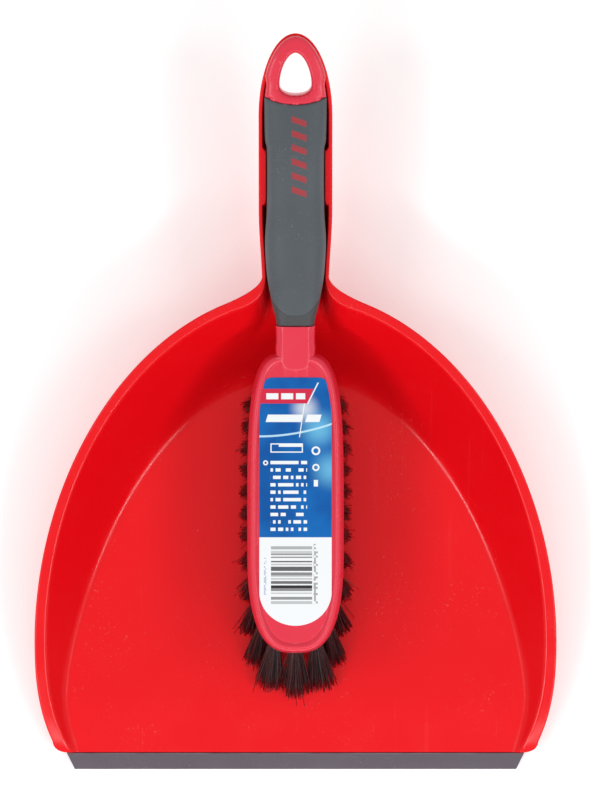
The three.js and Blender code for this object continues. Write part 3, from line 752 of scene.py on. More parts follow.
def sleeve_surface(angle, distance, inset, with_pad):
    """Point of the sleeve, set in from the handle's outside; the collar is lower than the pad."""
    half, top, bottom = handle_size(distance)
    below = 1 - ease((distance - pad_line(angle) + PAD_BEND / 2) / PAD_BEND)
    depth = inset + with_pad * PAD_STEP * below * ease((1.25 - to_side(angle)) / 0.3)
    return handle_ring(angle, half - depth, top - depth, bottom + depth, squareness_at(distance))


turn = np.linspace(0, 2 * math.pi, 145)[None, :]
line = pad_line(turn)
x_now, _ = handle_ring(turn, 13.5, 8, -8, 0.75)
finish_line = grip_edge(x_now)
low_part = np.linspace(0, 1, 14)[:, None]
high_part = np.linspace(0, 1, 90)[:, None]
start_line = GRIP_FROM + 0 * line
outer_rows = [start_line + 0.02, start_line + 0.15, start_line + 0.4]
outer_rows += list((start_line + 0.8) * (1 - low_part) + (line - PAD_BEND / 2) * low_part)
outer_rows += [line + PAD_BEND * (k / 8 - 0.5) for k in range(1, 8)]
outer_rows += list((line + PAD_BEND / 2) * (1 - high_part) + (finish_line - 0.8) * high_part)
outer_rows += [finish_line - 0.4, finish_line - 0.15, finish_line - 0.02]
outer_s = np.vstack([np.atleast_2d(row) for row in outer_rows])
edge_gap = np.minimum(outer_s - start_line, finish_line - outer_s)
x_outer, height_outer = sleeve_surface(turn, outer_s, 0.02 + edge_drop(GRIP_ROUND, edge_gap), 1)
inner_part = np.linspace(0, 1, 30)[:, None]
inner_s = (finish_line - 0.05) * (1 - inner_part) + (start_line + 0.05) * inner_part
x_inner, height_inner = sleeve_surface(turn, inner_s, GRIP_THICK - GRIP_CLEARANCE, 0)
sleeve = [in_trough(x_outer, outer_s, height_outer), in_trough(x_inner, inner_s, height_inner)]
sleeve = np.concatenate([*sleeve, sleeve[0][:1]])
grip_sleeve = mesh_from("grip_sleeve", [sleeve], 45)
print("grip:", len(grip_sleeve.data.polygons), "faces,", open_edges(grip_sleeve), "open edges")


# %% [markdown]
# ## The sticker
#
# The sticker is a thin film with rounded corners at the back and half an ellipse at the front. It is a
# grid whose rows run across, each as wide as the outline there.

# %% Sticker
label_low, label_high = box_mm("label")
LABEL_HALF, LABEL_BACK, LABEL_FRONT = label_high[0], label_high[1], label_low[1]
LABEL_BEND, LABEL_CORNER = -80.8, 6.0
FILM_LOW, FILM_TOP = DECK + 0.04, DECK + 0.24


def label_half(y):
    """Half width of the sticker at y."""
    front = np.clip((LABEL_BEND - y) / (LABEL_BEND - LABEL_FRONT), 0, 1)
    corner = np.clip((y - LABEL_BACK + LABEL_CORNER) / LABEL_CORNER, 0, 1)
    return LABEL_HALF * np.sqrt(1 - front**2) - LABEL_CORNER * (1 - np.sqrt(1 - corner**2))


bend_turn = np.linspace(0, math.pi / 2, 36)
y_rows = np.concatenate([LABEL_BEND - (LABEL_BEND - LABEL_FRONT) * np.cos(bend_turn),
                         np.linspace(LABEL_BEND, LABEL_BACK - LABEL_CORNER, 50)[1:],
                         LABEL_BACK - LABEL_CORNER + LABEL_CORNER * np.sin(bend_turn[::2][1:])])[:, None]
across = np.linspace(-1, 1, 33)[None, :]
film_x = label_half(y_rows) * across
film_y = np.broadcast_to(y_rows, film_x.shape)
film_top = np.stack([film_x, film_y, np.full(film_x.shape, FILM_TOP)], -1)
film_bottom = film_top * [1, 1, 0] + [0, 0, FILM_LOW]
film_edges = [np.stack([film_top[:, side], film_bottom[:, side]]) for side in (0, -1)]
film_edges.append(np.stack([film_top[-1], film_bottom[-1]]))
sticker = mesh_from("sticker", [film_top, film_bottom, *film_edges], 40)
print("sticker:", open_edges(sticker), "open edges")


# %% [markdown]
# ## The tufts
#
# A real tuft is a bundle of plastic filaments, folded over a wire staple in its hole and trimmed flat.
# Here it has two hundred. Each is a thin three-sided tube that starts inside the hole, bends outwards and
# ends near the trimmed face, so a tuft is one array: filaments by stations by sides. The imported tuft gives
# the root and the tip. Two values go with each point for the material: a number for the filament, and how
# far along it the point is.

# %% Where the filaments of a tuft run
FILAMENTS, STRAND_STATIONS, STRAND_RADIUS, STRAND_TAPER = 200, 7, 0.18, 0.8
ROOT_SPREAD, ROOT_DEPTH = 1.55, 2.5
FAN_ALONG, FAN_ACROSS, FAN_MORE = 1.2, 1.0, 1.1
SCATTER, STRAY_SCATTER, STRAY_LIFT, KEPT_NEAT = 0.6, 1.8, 3.0, 0.95
FLOOR_GAP = 0.5
random_source = np.random.default_rng(11)


def ring_centre(node, lowest):
    """Middle of a packed tuft's lowest or highest ring, and that ring's radius."""
    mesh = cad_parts[node].data
    points = np.empty(3 * len(mesh.vertices))
    mesh.vertices.foreach_get("co", points)
    points = points.reshape(-1, 3) / MM
    level = points[:, 2].min() if lowest else points[:, 2].max()
    ring = points[np.abs(points[:, 2] - level) < 0.05]
    middle = (ring.min(0) + ring.max(0)) / 2
    return middle, np.hypot(*(ring - middle)[:, :2].T).max()


def tuft_paths(root, tip, tip_radius):
    """Centre lines of one tuft's filaments: parabolas that leave the hole straight down and splay out."""
    turn = random_source.uniform(0, 2 * math.pi, FILAMENTS)
    spread = np.sqrt(random_source.uniform(0, 1, FILAMENTS))
    disc = np.stack([np.cos(turn), np.sin(turn)], -1) * spread[:, None]
    scatter = random_source.normal(0, 1, (FILAMENTS, 2))
    heading = (tip - root)[:2] / np.hypot(*(tip - root)[:2])
    across = np.array([-heading[1], heading[0]])
    ahead = np.clip((HEAD_MIDDLE - root[1]) / HEAD_FRONT, 0, 1)
    fan = (disc @ heading)[:, None] * heading * FAN_ALONG
    fan = fan + (disc @ across)[:, None] * across * (FAN_ACROSS + FAN_MORE * ahead**0.7)
    start = np.empty((FILAMENTS, 3))
    start[:, :2] = root[:2] + disc * ROOT_SPREAD
    start[:, 2] = HEAD_BOTTOM + ROOT_DEPTH
    stray = random_source.uniform(0, 1, FILAMENTS) > KEPT_NEAT
    end = np.empty((FILAMENTS, 3))
    end[:, :2] = tip[:2] + fan * tip_radius + scatter * np.where(stray, STRAY_SCATTER, SCATTER)[:, None]
    uneven = np.abs(random_source.normal(0, 0.9, FILAMENTS))
    end[:, 2] = tip[2] + 0.4 + uneven + np.where(stray, STRAY_LIFT, 0)
    end[:, 2] = np.maximum(end[:, 2], floor_top(end[:, 1]) + FLOOR_GAP)
    bend = start * [0.55, 0.55, 0.45] + end * [0.45, 0.45, 0.55]
    bend[:, :2] += random_source.normal(0, 0.35, (FILAMENTS, 2))
    t = np.linspace(0, 1, STRAND_STATIONS)[None, :, None]
    return (1 - t) ** 2 * start[:, None] + 2 * t * (1 - t) * bend[:, None] + t**2 * end[:, None]


# %% Tufts
def keep_per_point(mesh, name, values):
    """Writes one number a point, for a material to read."""
    mesh.attributes.new(name, "FLOAT", "POINT").data.foreach_set("value", values.astype(np.float32))


def tuft_mesh(name, paths):
    """Three-sided tubes round the paths, closed to a blunt end; strand and reach are kept per point."""
    count, stations, _ = paths.shape
    sides = np.arange(3) * 2 * math.pi / 3
    heading = paths[:, -1] - paths[:, 0]
    turn = np.arctan2(heading[:, 1], heading[:, 0])[:, None, None] + sides
    thick = STRAND_RADIUS * np.linspace(1, STRAND_TAPER, stations)[None, :, None]
    offset = np.stack([np.cos(turn) * thick, np.sin(turn) * thick, 0 * turn * thick], -1)
    points = (paths[:, :, None, :] + offset) * MM
    index = np.arange(count * stations * 3).reshape(count, stations, 3)
    following = np.roll(index, -1, axis=2)
    walls = np.stack([index[:, :-1], following[:, :-1], following[:, 1:], index[:, 1:]], -1).reshape(-1, 4)
    mesh = bpy.data.meshes.new(name)
    faces = walls.tolist() + index[:, -1].tolist() + index[:, 0, ::-1].tolist()
    mesh.from_pydata(points.reshape(-1, 3), [], faces)
    mesh.shade_smooth()
    keep_per_point(mesh, "strand", np.repeat(random_source.uniform(0, 1, count), stations * 3))
    keep_per_point(mesh, "reach", np.tile(np.repeat(np.linspace(0, 1, stations), 3), count))
    piece = bpy.data.objects.new(name, mesh)
    bpy.context.scene.collection.objects.link(piece)
    return piece


tufts = {}
for node in sorted(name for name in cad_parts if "_tuft_" in name):
    root, _ = ring_centre(node, False)
    tip, tip_radius = ring_centre(node, True)
    tufts[node] = tuft_mesh(node.replace("tuft", "bristles"), tuft_paths(root, tip, tip_radius))
print("tufts:", len(tufts), "of", len(next(iter(tufts.values())).data.polygons), "faces")


# %% [markdown]
# ## Finishes that several materials share
#
# Moulded plastic is never quite even: it has a fine grain, long soft waves from shrinking, faint hairline
# scratches on the faces that slide on things, a little dust on what faces up, and paler edges from rubbing;
# on the brush's bead the pale edge colour is also a painted highlight.
# Each of these is a node group made once, and each material sets its own scales and amounts.

# %% Helpers for nodes
def linear(red, green, blue):
    """A colour as seen on a screen, 0 to 255, turned into light."""
    part = np.array([red, green, blue]) / 255
    light = np.where(part <= 0.04045, part / 12.92, ((part + 0.055) / 1.055) ** 2.4)
    return (*light.tolist(), 1.0)


def wire(tree, source, socket):
    """Puts a socket's link or a plain value into a socket."""
    if isinstance(source, bpy.types.NodeSocket):
        tree.links.new(source, socket)
    else:
        socket.default_value = source


def math_node(tree, operation, *values, clamp=False):
    """A Math node on sockets or numbers; returns its result."""
    node = tree.nodes.new("ShaderNodeMath")
    node.operation = operation
    node.use_clamp = clamp
    for value, socket in zip(values, node.inputs):
        wire(tree, value, socket)
    return node.outputs[0]


def product(tree, first, *others):
    """All the values multiplied together."""
    for value in others:
        first = math_node(tree, "MULTIPLY", first, value)
    return first


def greatest(tree, first, *others):
    """The largest of the values: for masks, where any of them is."""
    for value in others:
        first = math_node(tree, "MAXIMUM", first, value)
    return first


def minus(tree, first, second):
    """The first value less the second."""
    return math_node(tree, "SUBTRACT", first, second)


def size_of(tree, value):
    """The value without its sign."""
    return math_node(tree, "ABSOLUTE", value)


def ramp(tree, value, low, high, to_low=0.0, to_high=1.0):
    """Maps low..high to to_low..to_high with a smooth S and no overshoot."""
    node = tree.nodes.new("ShaderNodeMapRange")
    node.interpolation_type = "SMOOTHSTEP"
    for source, socket in zip((value, low, high, to_low, to_high), node.inputs):
        wire(tree, source, socket)
    return node.outputs[0]


def blend(tree, amount, first, second):
    """Colour between first and second."""
    node = tree.nodes.new("ShaderNodeMix")
    node.data_type = "RGBA"
    wire(tree, amount, node.inputs["Factor"])
    wire(tree, first, node.inputs[6])
    wire(tree, second, node.inputs[7])
    return node.outputs[2]


def noise(tree, vector, scale, detail=2.0):
    """Noise value of a Noise Texture."""
    node = tree.nodes.new("ShaderNodeTexNoise")
    wire(tree, vector, node.inputs["Vector"])
    wire(tree, scale, node.inputs["Scale"])
    node.inputs["Detail"].default_value = detail
    return node.outputs["Fac"]


def split_vector(tree, vector):
    """The x, y and z of a vector."""
    node = tree.nodes.new("ShaderNodeSeparateXYZ")
    wire(tree, vector, node.inputs[0])
    return node.outputs


def attribute(tree, name):
    """A number that each point of the mesh carries."""
    node = tree.nodes.new("ShaderNodeAttribute")
    node.attribute_name = name
    return node.outputs["Fac"]


def new_group(name, inputs, outputs):
    """An empty node group; inputs are {name: default}, where None stands for a vector."""
    group = bpy.data.node_groups.new(name, "ShaderNodeTree")
    for label, default in inputs.items():
        kind = "NodeSocketVector" if default is None else "NodeSocketFloat"
        socket = group.interface.new_socket(name=label, in_out="INPUT", socket_type=kind)
        if default is not None:
            socket.default_value = default
    for label in outputs:
        group.interface.new_socket(name=label, in_out="OUTPUT", socket_type="NodeSocketFloat")
    return group, group.nodes.new("NodeGroupInput").outputs, group.nodes.new("NodeGroupOutput").inputs


# %% Grain and waves
tree, given, result = new_group(
    "moulded_grain", {"Vector": None, "Grain Scale": 900.0, "Wave Scale": 22.0, "Grain": 0.4, "Wave": 1.0},
    ["Height", "Mottle"])
moulded_grain = tree
fine = noise(tree, given["Vector"], given["Grain Scale"], 3)
wave = noise(tree, given["Vector"], given["Wave Scale"], 1)
fine_height = product(tree, fine, given["Grain"])
wire(tree, math_node(tree, "ADD", fine_height, product(tree, wave, given["Wave"])), result["Height"])
wire(tree, ramp(tree, noise(tree, given["Vector"], 60.0, 4), 0.35, 0.65), result["Mottle"])

# %% Hairline scratches
tree, given, result = new_group("hairline_scratches", {"Vector": None, "Reach": 1.0, "Amount": 0.5}, ["Mask"])
scratches = tree
lines = []
for turn, stretch in ((0.4, 260.0), (-0.9, 340.0), (1.5, 420.0)):
    place = tree.nodes.new("ShaderNodeMapping")
    place.inputs["Rotation"].default_value = (0, 0, turn)
    place.inputs["Scale"].default_value = (stretch, 9.0, 9.0)
    wire(tree, given["Vector"], place.inputs["Vector"])
    lines.append(ramp(tree, noise(tree, place.outputs["Vector"], given["Reach"], 1), 0.70, 0.76))
patchy = ramp(tree, noise(tree, given["Vector"], 18.0, 1), 0.42, 0.62)
wire(tree, product(tree, greatest(tree, *lines), patchy, given["Amount"]), result["Mask"])

# %% Rubbed edges, which on the brush also paint a highlight
tree, given, result = new_group(
    "edge_wear_and_highlight", {"Vector": None, "Breakup Scale": 120.0, "Amount": 0.5}, ["Mask"])
edge_wear_and_highlight = tree
geometry = tree.nodes.new("ShaderNodeNewGeometry")
# Convex edges: pale from wear, and on the brush's bead a painted highlight
sharp = ramp(tree, geometry.outputs["Pointiness"], 0.52, 0.60)
patchy = ramp(tree, noise(tree, given["Vector"], given["Breakup Scale"], 3), 0.30, 0.65)
wire(tree, product(tree, sharp, patchy, given["Amount"]), result["Mask"])

# %% Settled dust
tree, given, result = new_group("settled_dust", {"Vector": None, "Scale": 800.0, "Amount": 0.3}, ["Mask"])
settled_dust = tree
geometry = tree.nodes.new("ShaderNodeNewGeometry")
_, _, normal_z = split_vector(tree, geometry.outputs["Normal"])
facing_up = ramp(tree, normal_z, 0.3, 0.95)
specks = ramp(tree, noise(tree, given["Vector"], given["Scale"], 5), 0.60, 0.74)
clouds = ramp(tree, noise(tree, given["Vector"], 30.0, 2), 0.40, 0.70)
patchy = product(tree, clouds, given["Amount"])
wire(tree, product(tree, product(tree, facing_up, specks), patchy), result["Mask"])
print("shared finishes:", [group.name for group in bpy.data.node_groups])


# %% Material helpers
def new_material(name):
    """A material with its tree, its Principled BSDF and the Object coordinates."""
    material = bpy.data.materials.new(name)
    material.use_nodes = True
    tree = material.node_tree
    place = tree.nodes.new("ShaderNodeTexCoord")
    return material, tree, tree.nodes["Principled BSDF"], place.outputs["Object"]


def use_group(tree, group, vector, **amounts):
    """Places a shared finish in a material, with this material's own amounts."""
    node = tree.nodes.new("ShaderNodeGroup")
    node.node_tree = group
    wire(tree, vector, node.inputs["Vector"])
    for label, value in amounts.items():
        node.inputs[label.replace("_", " ")].default_value = value
    return node.outputs


def finish_mask(tree, group, vector, **amounts):
    """The mask that a shared finish puts out."""
    return use_group(tree, group, vector, **amounts)["Mask"]


def bump(tree, height, strength, distance, shader):
    """Drives the shader's normal with a height."""
    node = tree.nodes.new("ShaderNodeBump")
    node.inputs["Strength"].default_value = strength
    node.inputs["Distance"].default_value = distance
    wire(tree, height, node.inputs["Height"])
    wire(tree, node.outputs["Normal"], shader.inputs["Normal"])


def moulded_plastic(name, deep, bright, rubbed_and_highlight, roughness, wear_and_highlight, dust, scratch, grain):
    """Glossy moulded plastic: a colour that drifts, pale edges, dust specks, scratches and a fine grain."""
    material, tree, shader, vector = new_material(name)
    surface = use_group(tree, moulded_grain, vector, Grain=grain, Wave=1.0)
    lines = finish_mask(tree, scratches, vector, Amount=scratch)
    edges = finish_mask(tree, edge_wear_and_highlight, vector, Amount=wear_and_highlight)
    specks = finish_mask(tree, settled_dust, vector, Amount=dust)
    colour = blend(tree, noise(tree, vector, 9.0, 2), deep, bright)
    # Pale edges: rubbed wear, and on the brush a painted highlight along the bead
    colour = blend(tree, edges, colour, rubbed_and_highlight)
    colour = blend(tree, product(tree, lines, 0.25), colour, rubbed_and_highlight)
    colour = blend(tree, specks, colour, linear(205, 190, 184))
    wire(tree, colour, shader.inputs["Base Color"])
    rough = math_node(tree, "MULTIPLY_ADD", surface["Mottle"], 0.09, roughness)
    rough = math_node(tree, "MULTIPLY_ADD", lines, 0.25, rough)
    rough = math_node(tree, "MULTIPLY_ADD", specks, 0.4, rough, clamp=True)
    wire(tree, rough, shader.inputs["Roughness"])
    height = math_node(tree, "MULTIPLY_ADD", lines, -0.35, surface["Height"])
    bump(tree, height, 0.22, 0.0006, shader)
    return material, shader


# %% [markdown]
# ## The plastics, the rubber and the bristle
#
# The pan is a bright, saturated red with a high gloss. The brush moulding is the same kind of plastic in
# a slightly pinker red with a satin finish. The grip is a matt thermoplastic rubber with a fine grain,
# and the bristle is dark polypropylene whose filaments differ in shade.

# %% Red plastics
PLASTIC_IOR = 1.49
pan_plastic, shader = moulded_plastic(
    "pan_red_gloss", linear(234, 10, 20), linear(240, 14, 26), linear(248, 70, 80),
    roughness=0.17, wear_and_highlight=0.45, dust=0.1, scratch=0.2, grain=0.2)
shader.inputs["IOR"].default_value = PLASTIC_IOR
shader.inputs["Specular IOR Level"].default_value = 0.35
# The pale pink edge colour is partly wear and partly a painted highlight along the bead
brush_plastic, shader = moulded_plastic(
    "brush_red_satin", linear(226, 44, 66), linear(234, 55, 78), linear(252, 140, 152),
    roughness=0.25, wear_and_highlight=0.5, dust=0.1, scratch=0.2, grain=0.3)
shader.inputs["IOR"].default_value = PLASTIC_IOR
print("red plastics:", pan_plastic.name, "and", brush_plastic.name)

# %% Grip rubber, with its printed stripes
STRIPE_MIDDLE, STRIPE_PITCH, STRIPE_COUNT, STRIPE_SLANT = 107.0 * MM, 6.0 * MM, 6, 0.35
STRIPE_X, STRIPE_HALF_LENGTH, STRIPE_HALF_WIDTH, PRINT_SOFTNESS = 0.0015, 0.0032, 0.0013, 0.00015
grip_rubber, tree, shader, vector = new_material("grip_grey_rubber")
surface = use_group(tree, moulded_grain, vector, Grain_Scale=1500.0, Wave_Scale=35.0, Grain=1.0, Wave=0.6)
tone = blend(tree, noise(tree, vector, 45.0, 3), linear(70, 77, 82), linear(81, 88, 94))
collar_tone = blend(tree, noise(tree, vector, 45.0, 3), linear(62, 63, 66), linear(72, 72, 76))
tone = blend(tree, attribute(tree, "pad"), collar_tone, tone)
tone = blend(tree, finish_mask(tree, edge_wear_and_highlight, vector, Amount=0.55), tone, linear(150, 154, 158))
specks = finish_mask(tree, settled_dust, vector, Scale=1100.0, Amount=0.3)
tone = blend(tree, specks, tone, linear(172, 170, 166))
place_x, place_y, _ = split_vector(tree, vector)
across = minus(tree, size_of(tree, minus(tree, place_x, STRIPE_X)), STRIPE_HALF_LENGTH)
stripes = []
for number in range(STRIPE_COUNT):
    middle = STRIPE_MIDDLE + (number - (STRIPE_COUNT - 1) / 2) * STRIPE_PITCH
    slanted = math_node(tree, "MULTIPLY_ADD", place_x, STRIPE_SLANT, minus(tree, place_y, middle))
    along_stripe = minus(tree, size_of(tree, slanted), STRIPE_HALF_WIDTH)
    stripes.append(ramp(tree, greatest(tree, across, along_stripe), PRINT_SOFTNESS, -PRINT_SOFTNESS))
geometry = tree.nodes.new("ShaderNodeNewGeometry")
_, _, normal_z = split_vector(tree, geometry.outputs["Normal"])
on_top = math_node(tree, "GREATER_THAN", normal_z, 0.2)
tone = blend(tree, product(tree, greatest(tree, *stripes), on_top, 0.85), tone, linear(176, 40, 50))
wire(tree, tone, shader.inputs["Base Color"])
wire(tree, math_node(tree, "MULTIPLY_ADD", surface["Mottle"], 0.12, 0.5), shader.inputs["Roughness"])
shader.inputs["Sheen Weight"].default_value = 0.1
bump(tree, surface["Height"], 0.5, 0.0004, shader)
print("grip rubber:", len(tree.nodes), "nodes")

# %% Lip rubber
lip_rubber, tree, shader, vector = new_material("lip_grey_rubber")
surface = use_group(tree, moulded_grain, vector, Grain_Scale=1300.0, Wave_Scale=30.0, Grain=0.9, Wave=1.2)
tone = blend(tree, noise(tree, vector, 25.0, 3), linear(84, 73, 83), linear(94, 84, 94))
tone = blend(tree, finish_mask(tree, edge_wear_and_highlight, vector, Amount=0.8), tone, linear(168, 166, 170))
specks = finish_mask(tree, settled_dust, vector, Scale=1000.0, Amount=0.35)
tone = blend(tree, specks, tone, linear(176, 172, 168))
wire(tree, tone, shader.inputs["Base Color"])
wire(tree, math_node(tree, "MULTIPLY_ADD", surface["Mottle"], 0.15, 0.42), shader.inputs["Roughness"])
bump(tree, surface["Height"], 0.4, 0.0004, shader)
print("lip rubber:", len(tree.nodes), "nodes")

# %% Bristle
bristle, tree, shader, vector = new_material("bristle_dark_red")
strand = attribute(tree, "strand")
tone = blend(tree, ramp(tree, strand, 0.2, 0.7), linear(26, 8, 11), linear(70, 12, 20))
tone = blend(tree, ramp(tree, strand, 0.86, 0.92), tone, linear(86, 66, 66))
towards_tip = ramp(tree, attribute(tree, "reach"), 0.75, 1.0)
tone = blend(tree, product(tree, towards_tip, 0.4), tone, linear(120, 30, 40))
wire(tree, tone, shader.inputs["Base Color"])
wire(tree, ramp(tree, noise(tree, vector, 700.0, 2), 0.3, 0.7, 0.28, 0.45), shader.inputs["Roughness"])
bump(tree, noise(tree, vector, 2500.0, 1), 0.15, 0.0001, shader)
print("bristle:", len(tree.nodes), "nodes")


# %% Where the thumb pad is
def mark_pad(piece):
    """Writes 1 on the pad and 0 on the collar, from each point's place in the trough's frame."""
    mesh = piece.data
    points = np.empty(3 * len(mesh.vertices))
    mesh.vertices.foreach_get("co", points)
    x, y, z = (points.reshape(-1, 3) / MM).T
    y, z = y - RIM_BACK, z - RIM_FRONT_Z - RIM_CLIMB
    distance = y * math.cos(RISE) + z * math.sin(RISE)
    height = z * math.cos(RISE) - y * math.sin(RISE)
    half, top, bottom = handle_size(distance)
    power = 1 / squareness_at(distance)
    sine = np.clip(np.abs(x) / half, 0, 1) ** power
    cosine = np.clip(np.abs(height - (top + bottom) / 2) * 2 / (top - bottom), 0, 1) ** power
    angle = np.arctan2(sine, np.where(height > (top + bottom) / 2, cosine, -cosine))
    value = ease((distance - pad_line(angle) + 0.2) / 0.4) * ease((2.0 - angle) / 0.2)
    keep_per_point(mesh, "pad", value)


mark_pad(grip_sleeve)
print("thumb pad marked on", len(grip_sleeve.data.vertices), "points")


# %% [markdown]
# ## The sticker's print
#
# The print is made of plain shapes: a blue field with a pale glow, a red banner, white bars in place of
# words, a block of bars like those of a bar code and a few rings. Every shape is a mask worked out from
# the Object coordinates, and two small groups make all of them: a box with a slant, and a ring.

# %% Groups for printed shapes
PRINT_EDGE = 0.06
tree, given, result = new_group(
    "printed_box", {"X": 0.0, "Y": 0.0, "Middle X": 0.0, "Middle Y": 0.0, "Half X": 1.0, "Half Y": 1.0,
                    "Slant": 0.0}, ["Mask"])
printed_box = tree
from_x = minus(tree, given["X"], given["Middle X"])
from_y = minus(tree, given["Y"], given["Middle Y"])
leaning = minus(tree, from_x, product(tree, from_y, given["Slant"]))
over_x = minus(tree, size_of(tree, leaning), given["Half X"])
over_y = minus(tree, size_of(tree, from_y), given["Half Y"])
wire(tree, ramp(tree, greatest(tree, over_x, over_y), PRINT_EDGE, -PRINT_EDGE), result["Mask"])

tree, given, result = new_group(
    "printed_ring", {"X": 0.0, "Y": 0.0, "Middle X": 0.0, "Middle Y": 0.0, "Radius": 1.0, "Half Line": 0.3},
    ["Mask"])
printed_ring = tree
from_x = minus(tree, given["X"], given["Middle X"])
from_y = minus(tree, given["Y"], given["Middle Y"])
square = math_node(tree, "ADD", product(tree, from_x, from_x), product(tree, from_y, from_y))
off_line = size_of(tree, minus(tree, math_node(tree, "SQRT", square), given["Radius"]))
wire(tree, ramp(tree, minus(tree, off_line, given["Half Line"]), PRINT_EDGE, -PRINT_EDGE), result["Mask"])
print("printed shapes:", printed_box.name, "and", printed_ring.name)

# %% Shapes on the sticker
label_film, tree, shader, vector = new_material("sticker_print")
print_x, print_y = (product(tree, part, 1 / MM) for part in list(split_vector(tree, vector))[:2])
FAR_CORNER = 200.0


def shape_mask(group, **sizes):
    """One printed shape, in millimetres on the sticker."""
    node = tree.nodes.new("ShaderNodeGroup")
    node.node_tree = group
    wire(tree, print_x, node.inputs["X"])
    wire(tree, print_y, node.inputs["Y"])
    for label, value in sizes.items():
        node.inputs[label.replace("_", " ")].default_value = value
    return node.outputs["Mask"]


def box_mask(left, right, front, back, slant=0.0):
    """A box between two x and two y."""
    return shape_mask(printed_box, Middle_X=(left + right) / 2, Middle_Y=(front + back) / 2,
                      Half_X=(right - left) / 2, Half_Y=(back - front) / 2, Slant=slant)


def ring_mask(x, y, radius, half_line):
    """A ring round x and y."""
    return shape_mask(printed_ring, Middle_X=x, Middle_Y=y, Radius=radius, Half_Line=half_line)


def glow(x, y, reach, strength):
    """A soft round glow."""
    from_x = minus(tree, print_x, x)
    from_y = minus(tree, print_y, y)
    square = math_node(tree, "ADD", product(tree, from_x, from_x), product(tree, from_y, from_y))
    return product(tree, ramp(tree, math_node(tree, "SQRT", square), reach, 0.0), strength)


def random_cells(x_size, y_size, seed):
    """A random number in every cell of a grid."""
    cell = tree.nodes.new("ShaderNodeCombineXYZ")
    for axis, value, size in (("X", print_x, x_size), ("Y", print_y, y_size)):
        from_corner = math_node(tree, "ADD", value, FAR_CORNER)
        wire(tree, math_node(tree, "FLOOR", math_node(tree, "DIVIDE", from_corner, size)), cell.inputs[axis])
    cell.inputs["Z"].default_value = seed
    source = tree.nodes.new("ShaderNodeTexWhiteNoise")
    wire(tree, cell.outputs[0], source.inputs["Vector"])
    return source.outputs["Value"]


def specks_in(box, x_size, y_size, seed, share):
    """Cells of a box that are filled at random, for marks too small to read."""
    filled = math_node(tree, "GREATER_THAN", random_cells(x_size, y_size, seed), share)
    return product(tree, filled, box_mask(*box))


# %% The blue field, its glows and its banner
BLUE, OTHER_BLUE, PALE = linear(2, 84, 162), linear(2, 104, 184), linear(120, 205, 240)
WHITE, BANNER = linear(243, 246, 248), linear(214, 42, 72)
colour = blend(tree, ramp(tree, noise(tree, vector, 60.0, 2), 0.3, 0.7), BLUE, OTHER_BLUE)
colour = blend(tree, glow(10.0, -10.5, 11.0, 0.75), colour, PALE)
colour = blend(tree, glow(15.0, -28.0, 11.0, 0.7), colour, PALE)
colour = blend(tree, glow(4.0, -1.5, 8.0, 0.7), colour, WHITE)
from_left = product(tree, math_node(tree, "ADD", print_x, LABEL_HALF), 0.05)
curve = math_node(tree, "MULTIPLY_ADD", math_node(tree, "POWER", from_left, 2.0), 2.2, -13.6)
sweep_line = ramp(tree, size_of(tree, minus(tree, print_y, curve)), 0.55, 0.3)
colour = blend(tree, product(tree, sweep_line, 0.85), colour, linear(200, 238, 252))
colour = blend(tree, box_mask(-20.0, 6.4, 0.6, 6.9, 0.42), colour, BANNER)
print("blue field:", len(tree.nodes), "nodes")

# %% White marks in place of words
ROW_PITCH, ROW_SHARE = 3.2, 0.45
boxes = [(7.2, 7.8, 0.4, 9.6, 0.5), (2.6, 3.0, -14.0, 0.6, 0.15), (-12.6, -7.4, 2.4, 5.0),
         (-6.2, -1.0, 2.4, 5.0), (0.2, 4.2, 2.4, 5.0), (-12.4, 2.8, -7.4, -4.2, 0.3),
         (4.6, 10.8, -7.4, -4.2, 0.3), (-7.2, 2.9, -18.1, -17.0), (7.9, 9.7, -35.2, -32.4)]
frame_outside, frame_inside = box_mask(-10.8, 3.2, -20.6, -16.6), box_mask(-10.3, 2.7, -20.1, -17.1)
frame_line = math_node(tree, "SUBTRACT", frame_outside, frame_inside, clamp=True)
row_place = math_node(tree, "FRACT", math_node(tree, "DIVIDE", print_y, ROW_PITCH))
in_row = math_node(tree, "LESS_THAN", row_place, ROW_SHARE)
small_print = product(tree, in_row, specks_in((-10.8, 5.0, -55.0, -23.0), 1.1, ROW_PITCH, 3.0, 0.35))
rings = [ring_mask(8.8, -19.8, 1.5, 0.4), ring_mask(8.8, -27.0, 1.2, 0.35), ring_mask(-12.9, -25.0, 0.8, 0.3)]
white_marks = greatest(tree, *(box_mask(*box) for box in boxes), frame_line, small_print, *rings)
colour = blend(tree, white_marks, colour, WHITE)
print("with white marks:", len(tree.nodes), "nodes")

# %% The white end, with its bars
BAR, WHOLE_WIDTH = 0.62, 900.0
colour = blend(tree, ramp(tree, print_y, -57.0, -57.3), colour, WHITE)
inked = ramp(tree, random_cells(WHOLE_WIDTH, BAR, 7.0), 0.44, 0.48)
shade = ramp(tree, random_cells(WHOLE_WIDTH, 3 * BAR, 9.0), 0.0, 1.0, 0.35, 1.0)
bars = product(tree, inked, box_mask(-10.6, 7.2, -86.2, -61.0), shade)
colour = blend(tree, bars, colour, linear(48, 44, 50))
digits = specks_in((7.8, 9.6, -86.0, -60.0), 0.8, 0.9, 5.0, 0.45)
colour = blend(tree, product(tree, digits, 0.6), colour, linear(80, 76, 82))
side_line = specks_in((-13.6, -12.6, -82.0, -66.0), 1.0, 0.8, 2.0, 0.4)
colour = blend(tree, product(tree, side_line, 0.5), colour, linear(110, 140, 190))
wire(tree, colour, shader.inputs["Base Color"])
surface = use_group(tree, moulded_grain, vector, Grain_Scale=700.0, Wave_Scale=40.0, Grain=0.1, Wave=1.0)
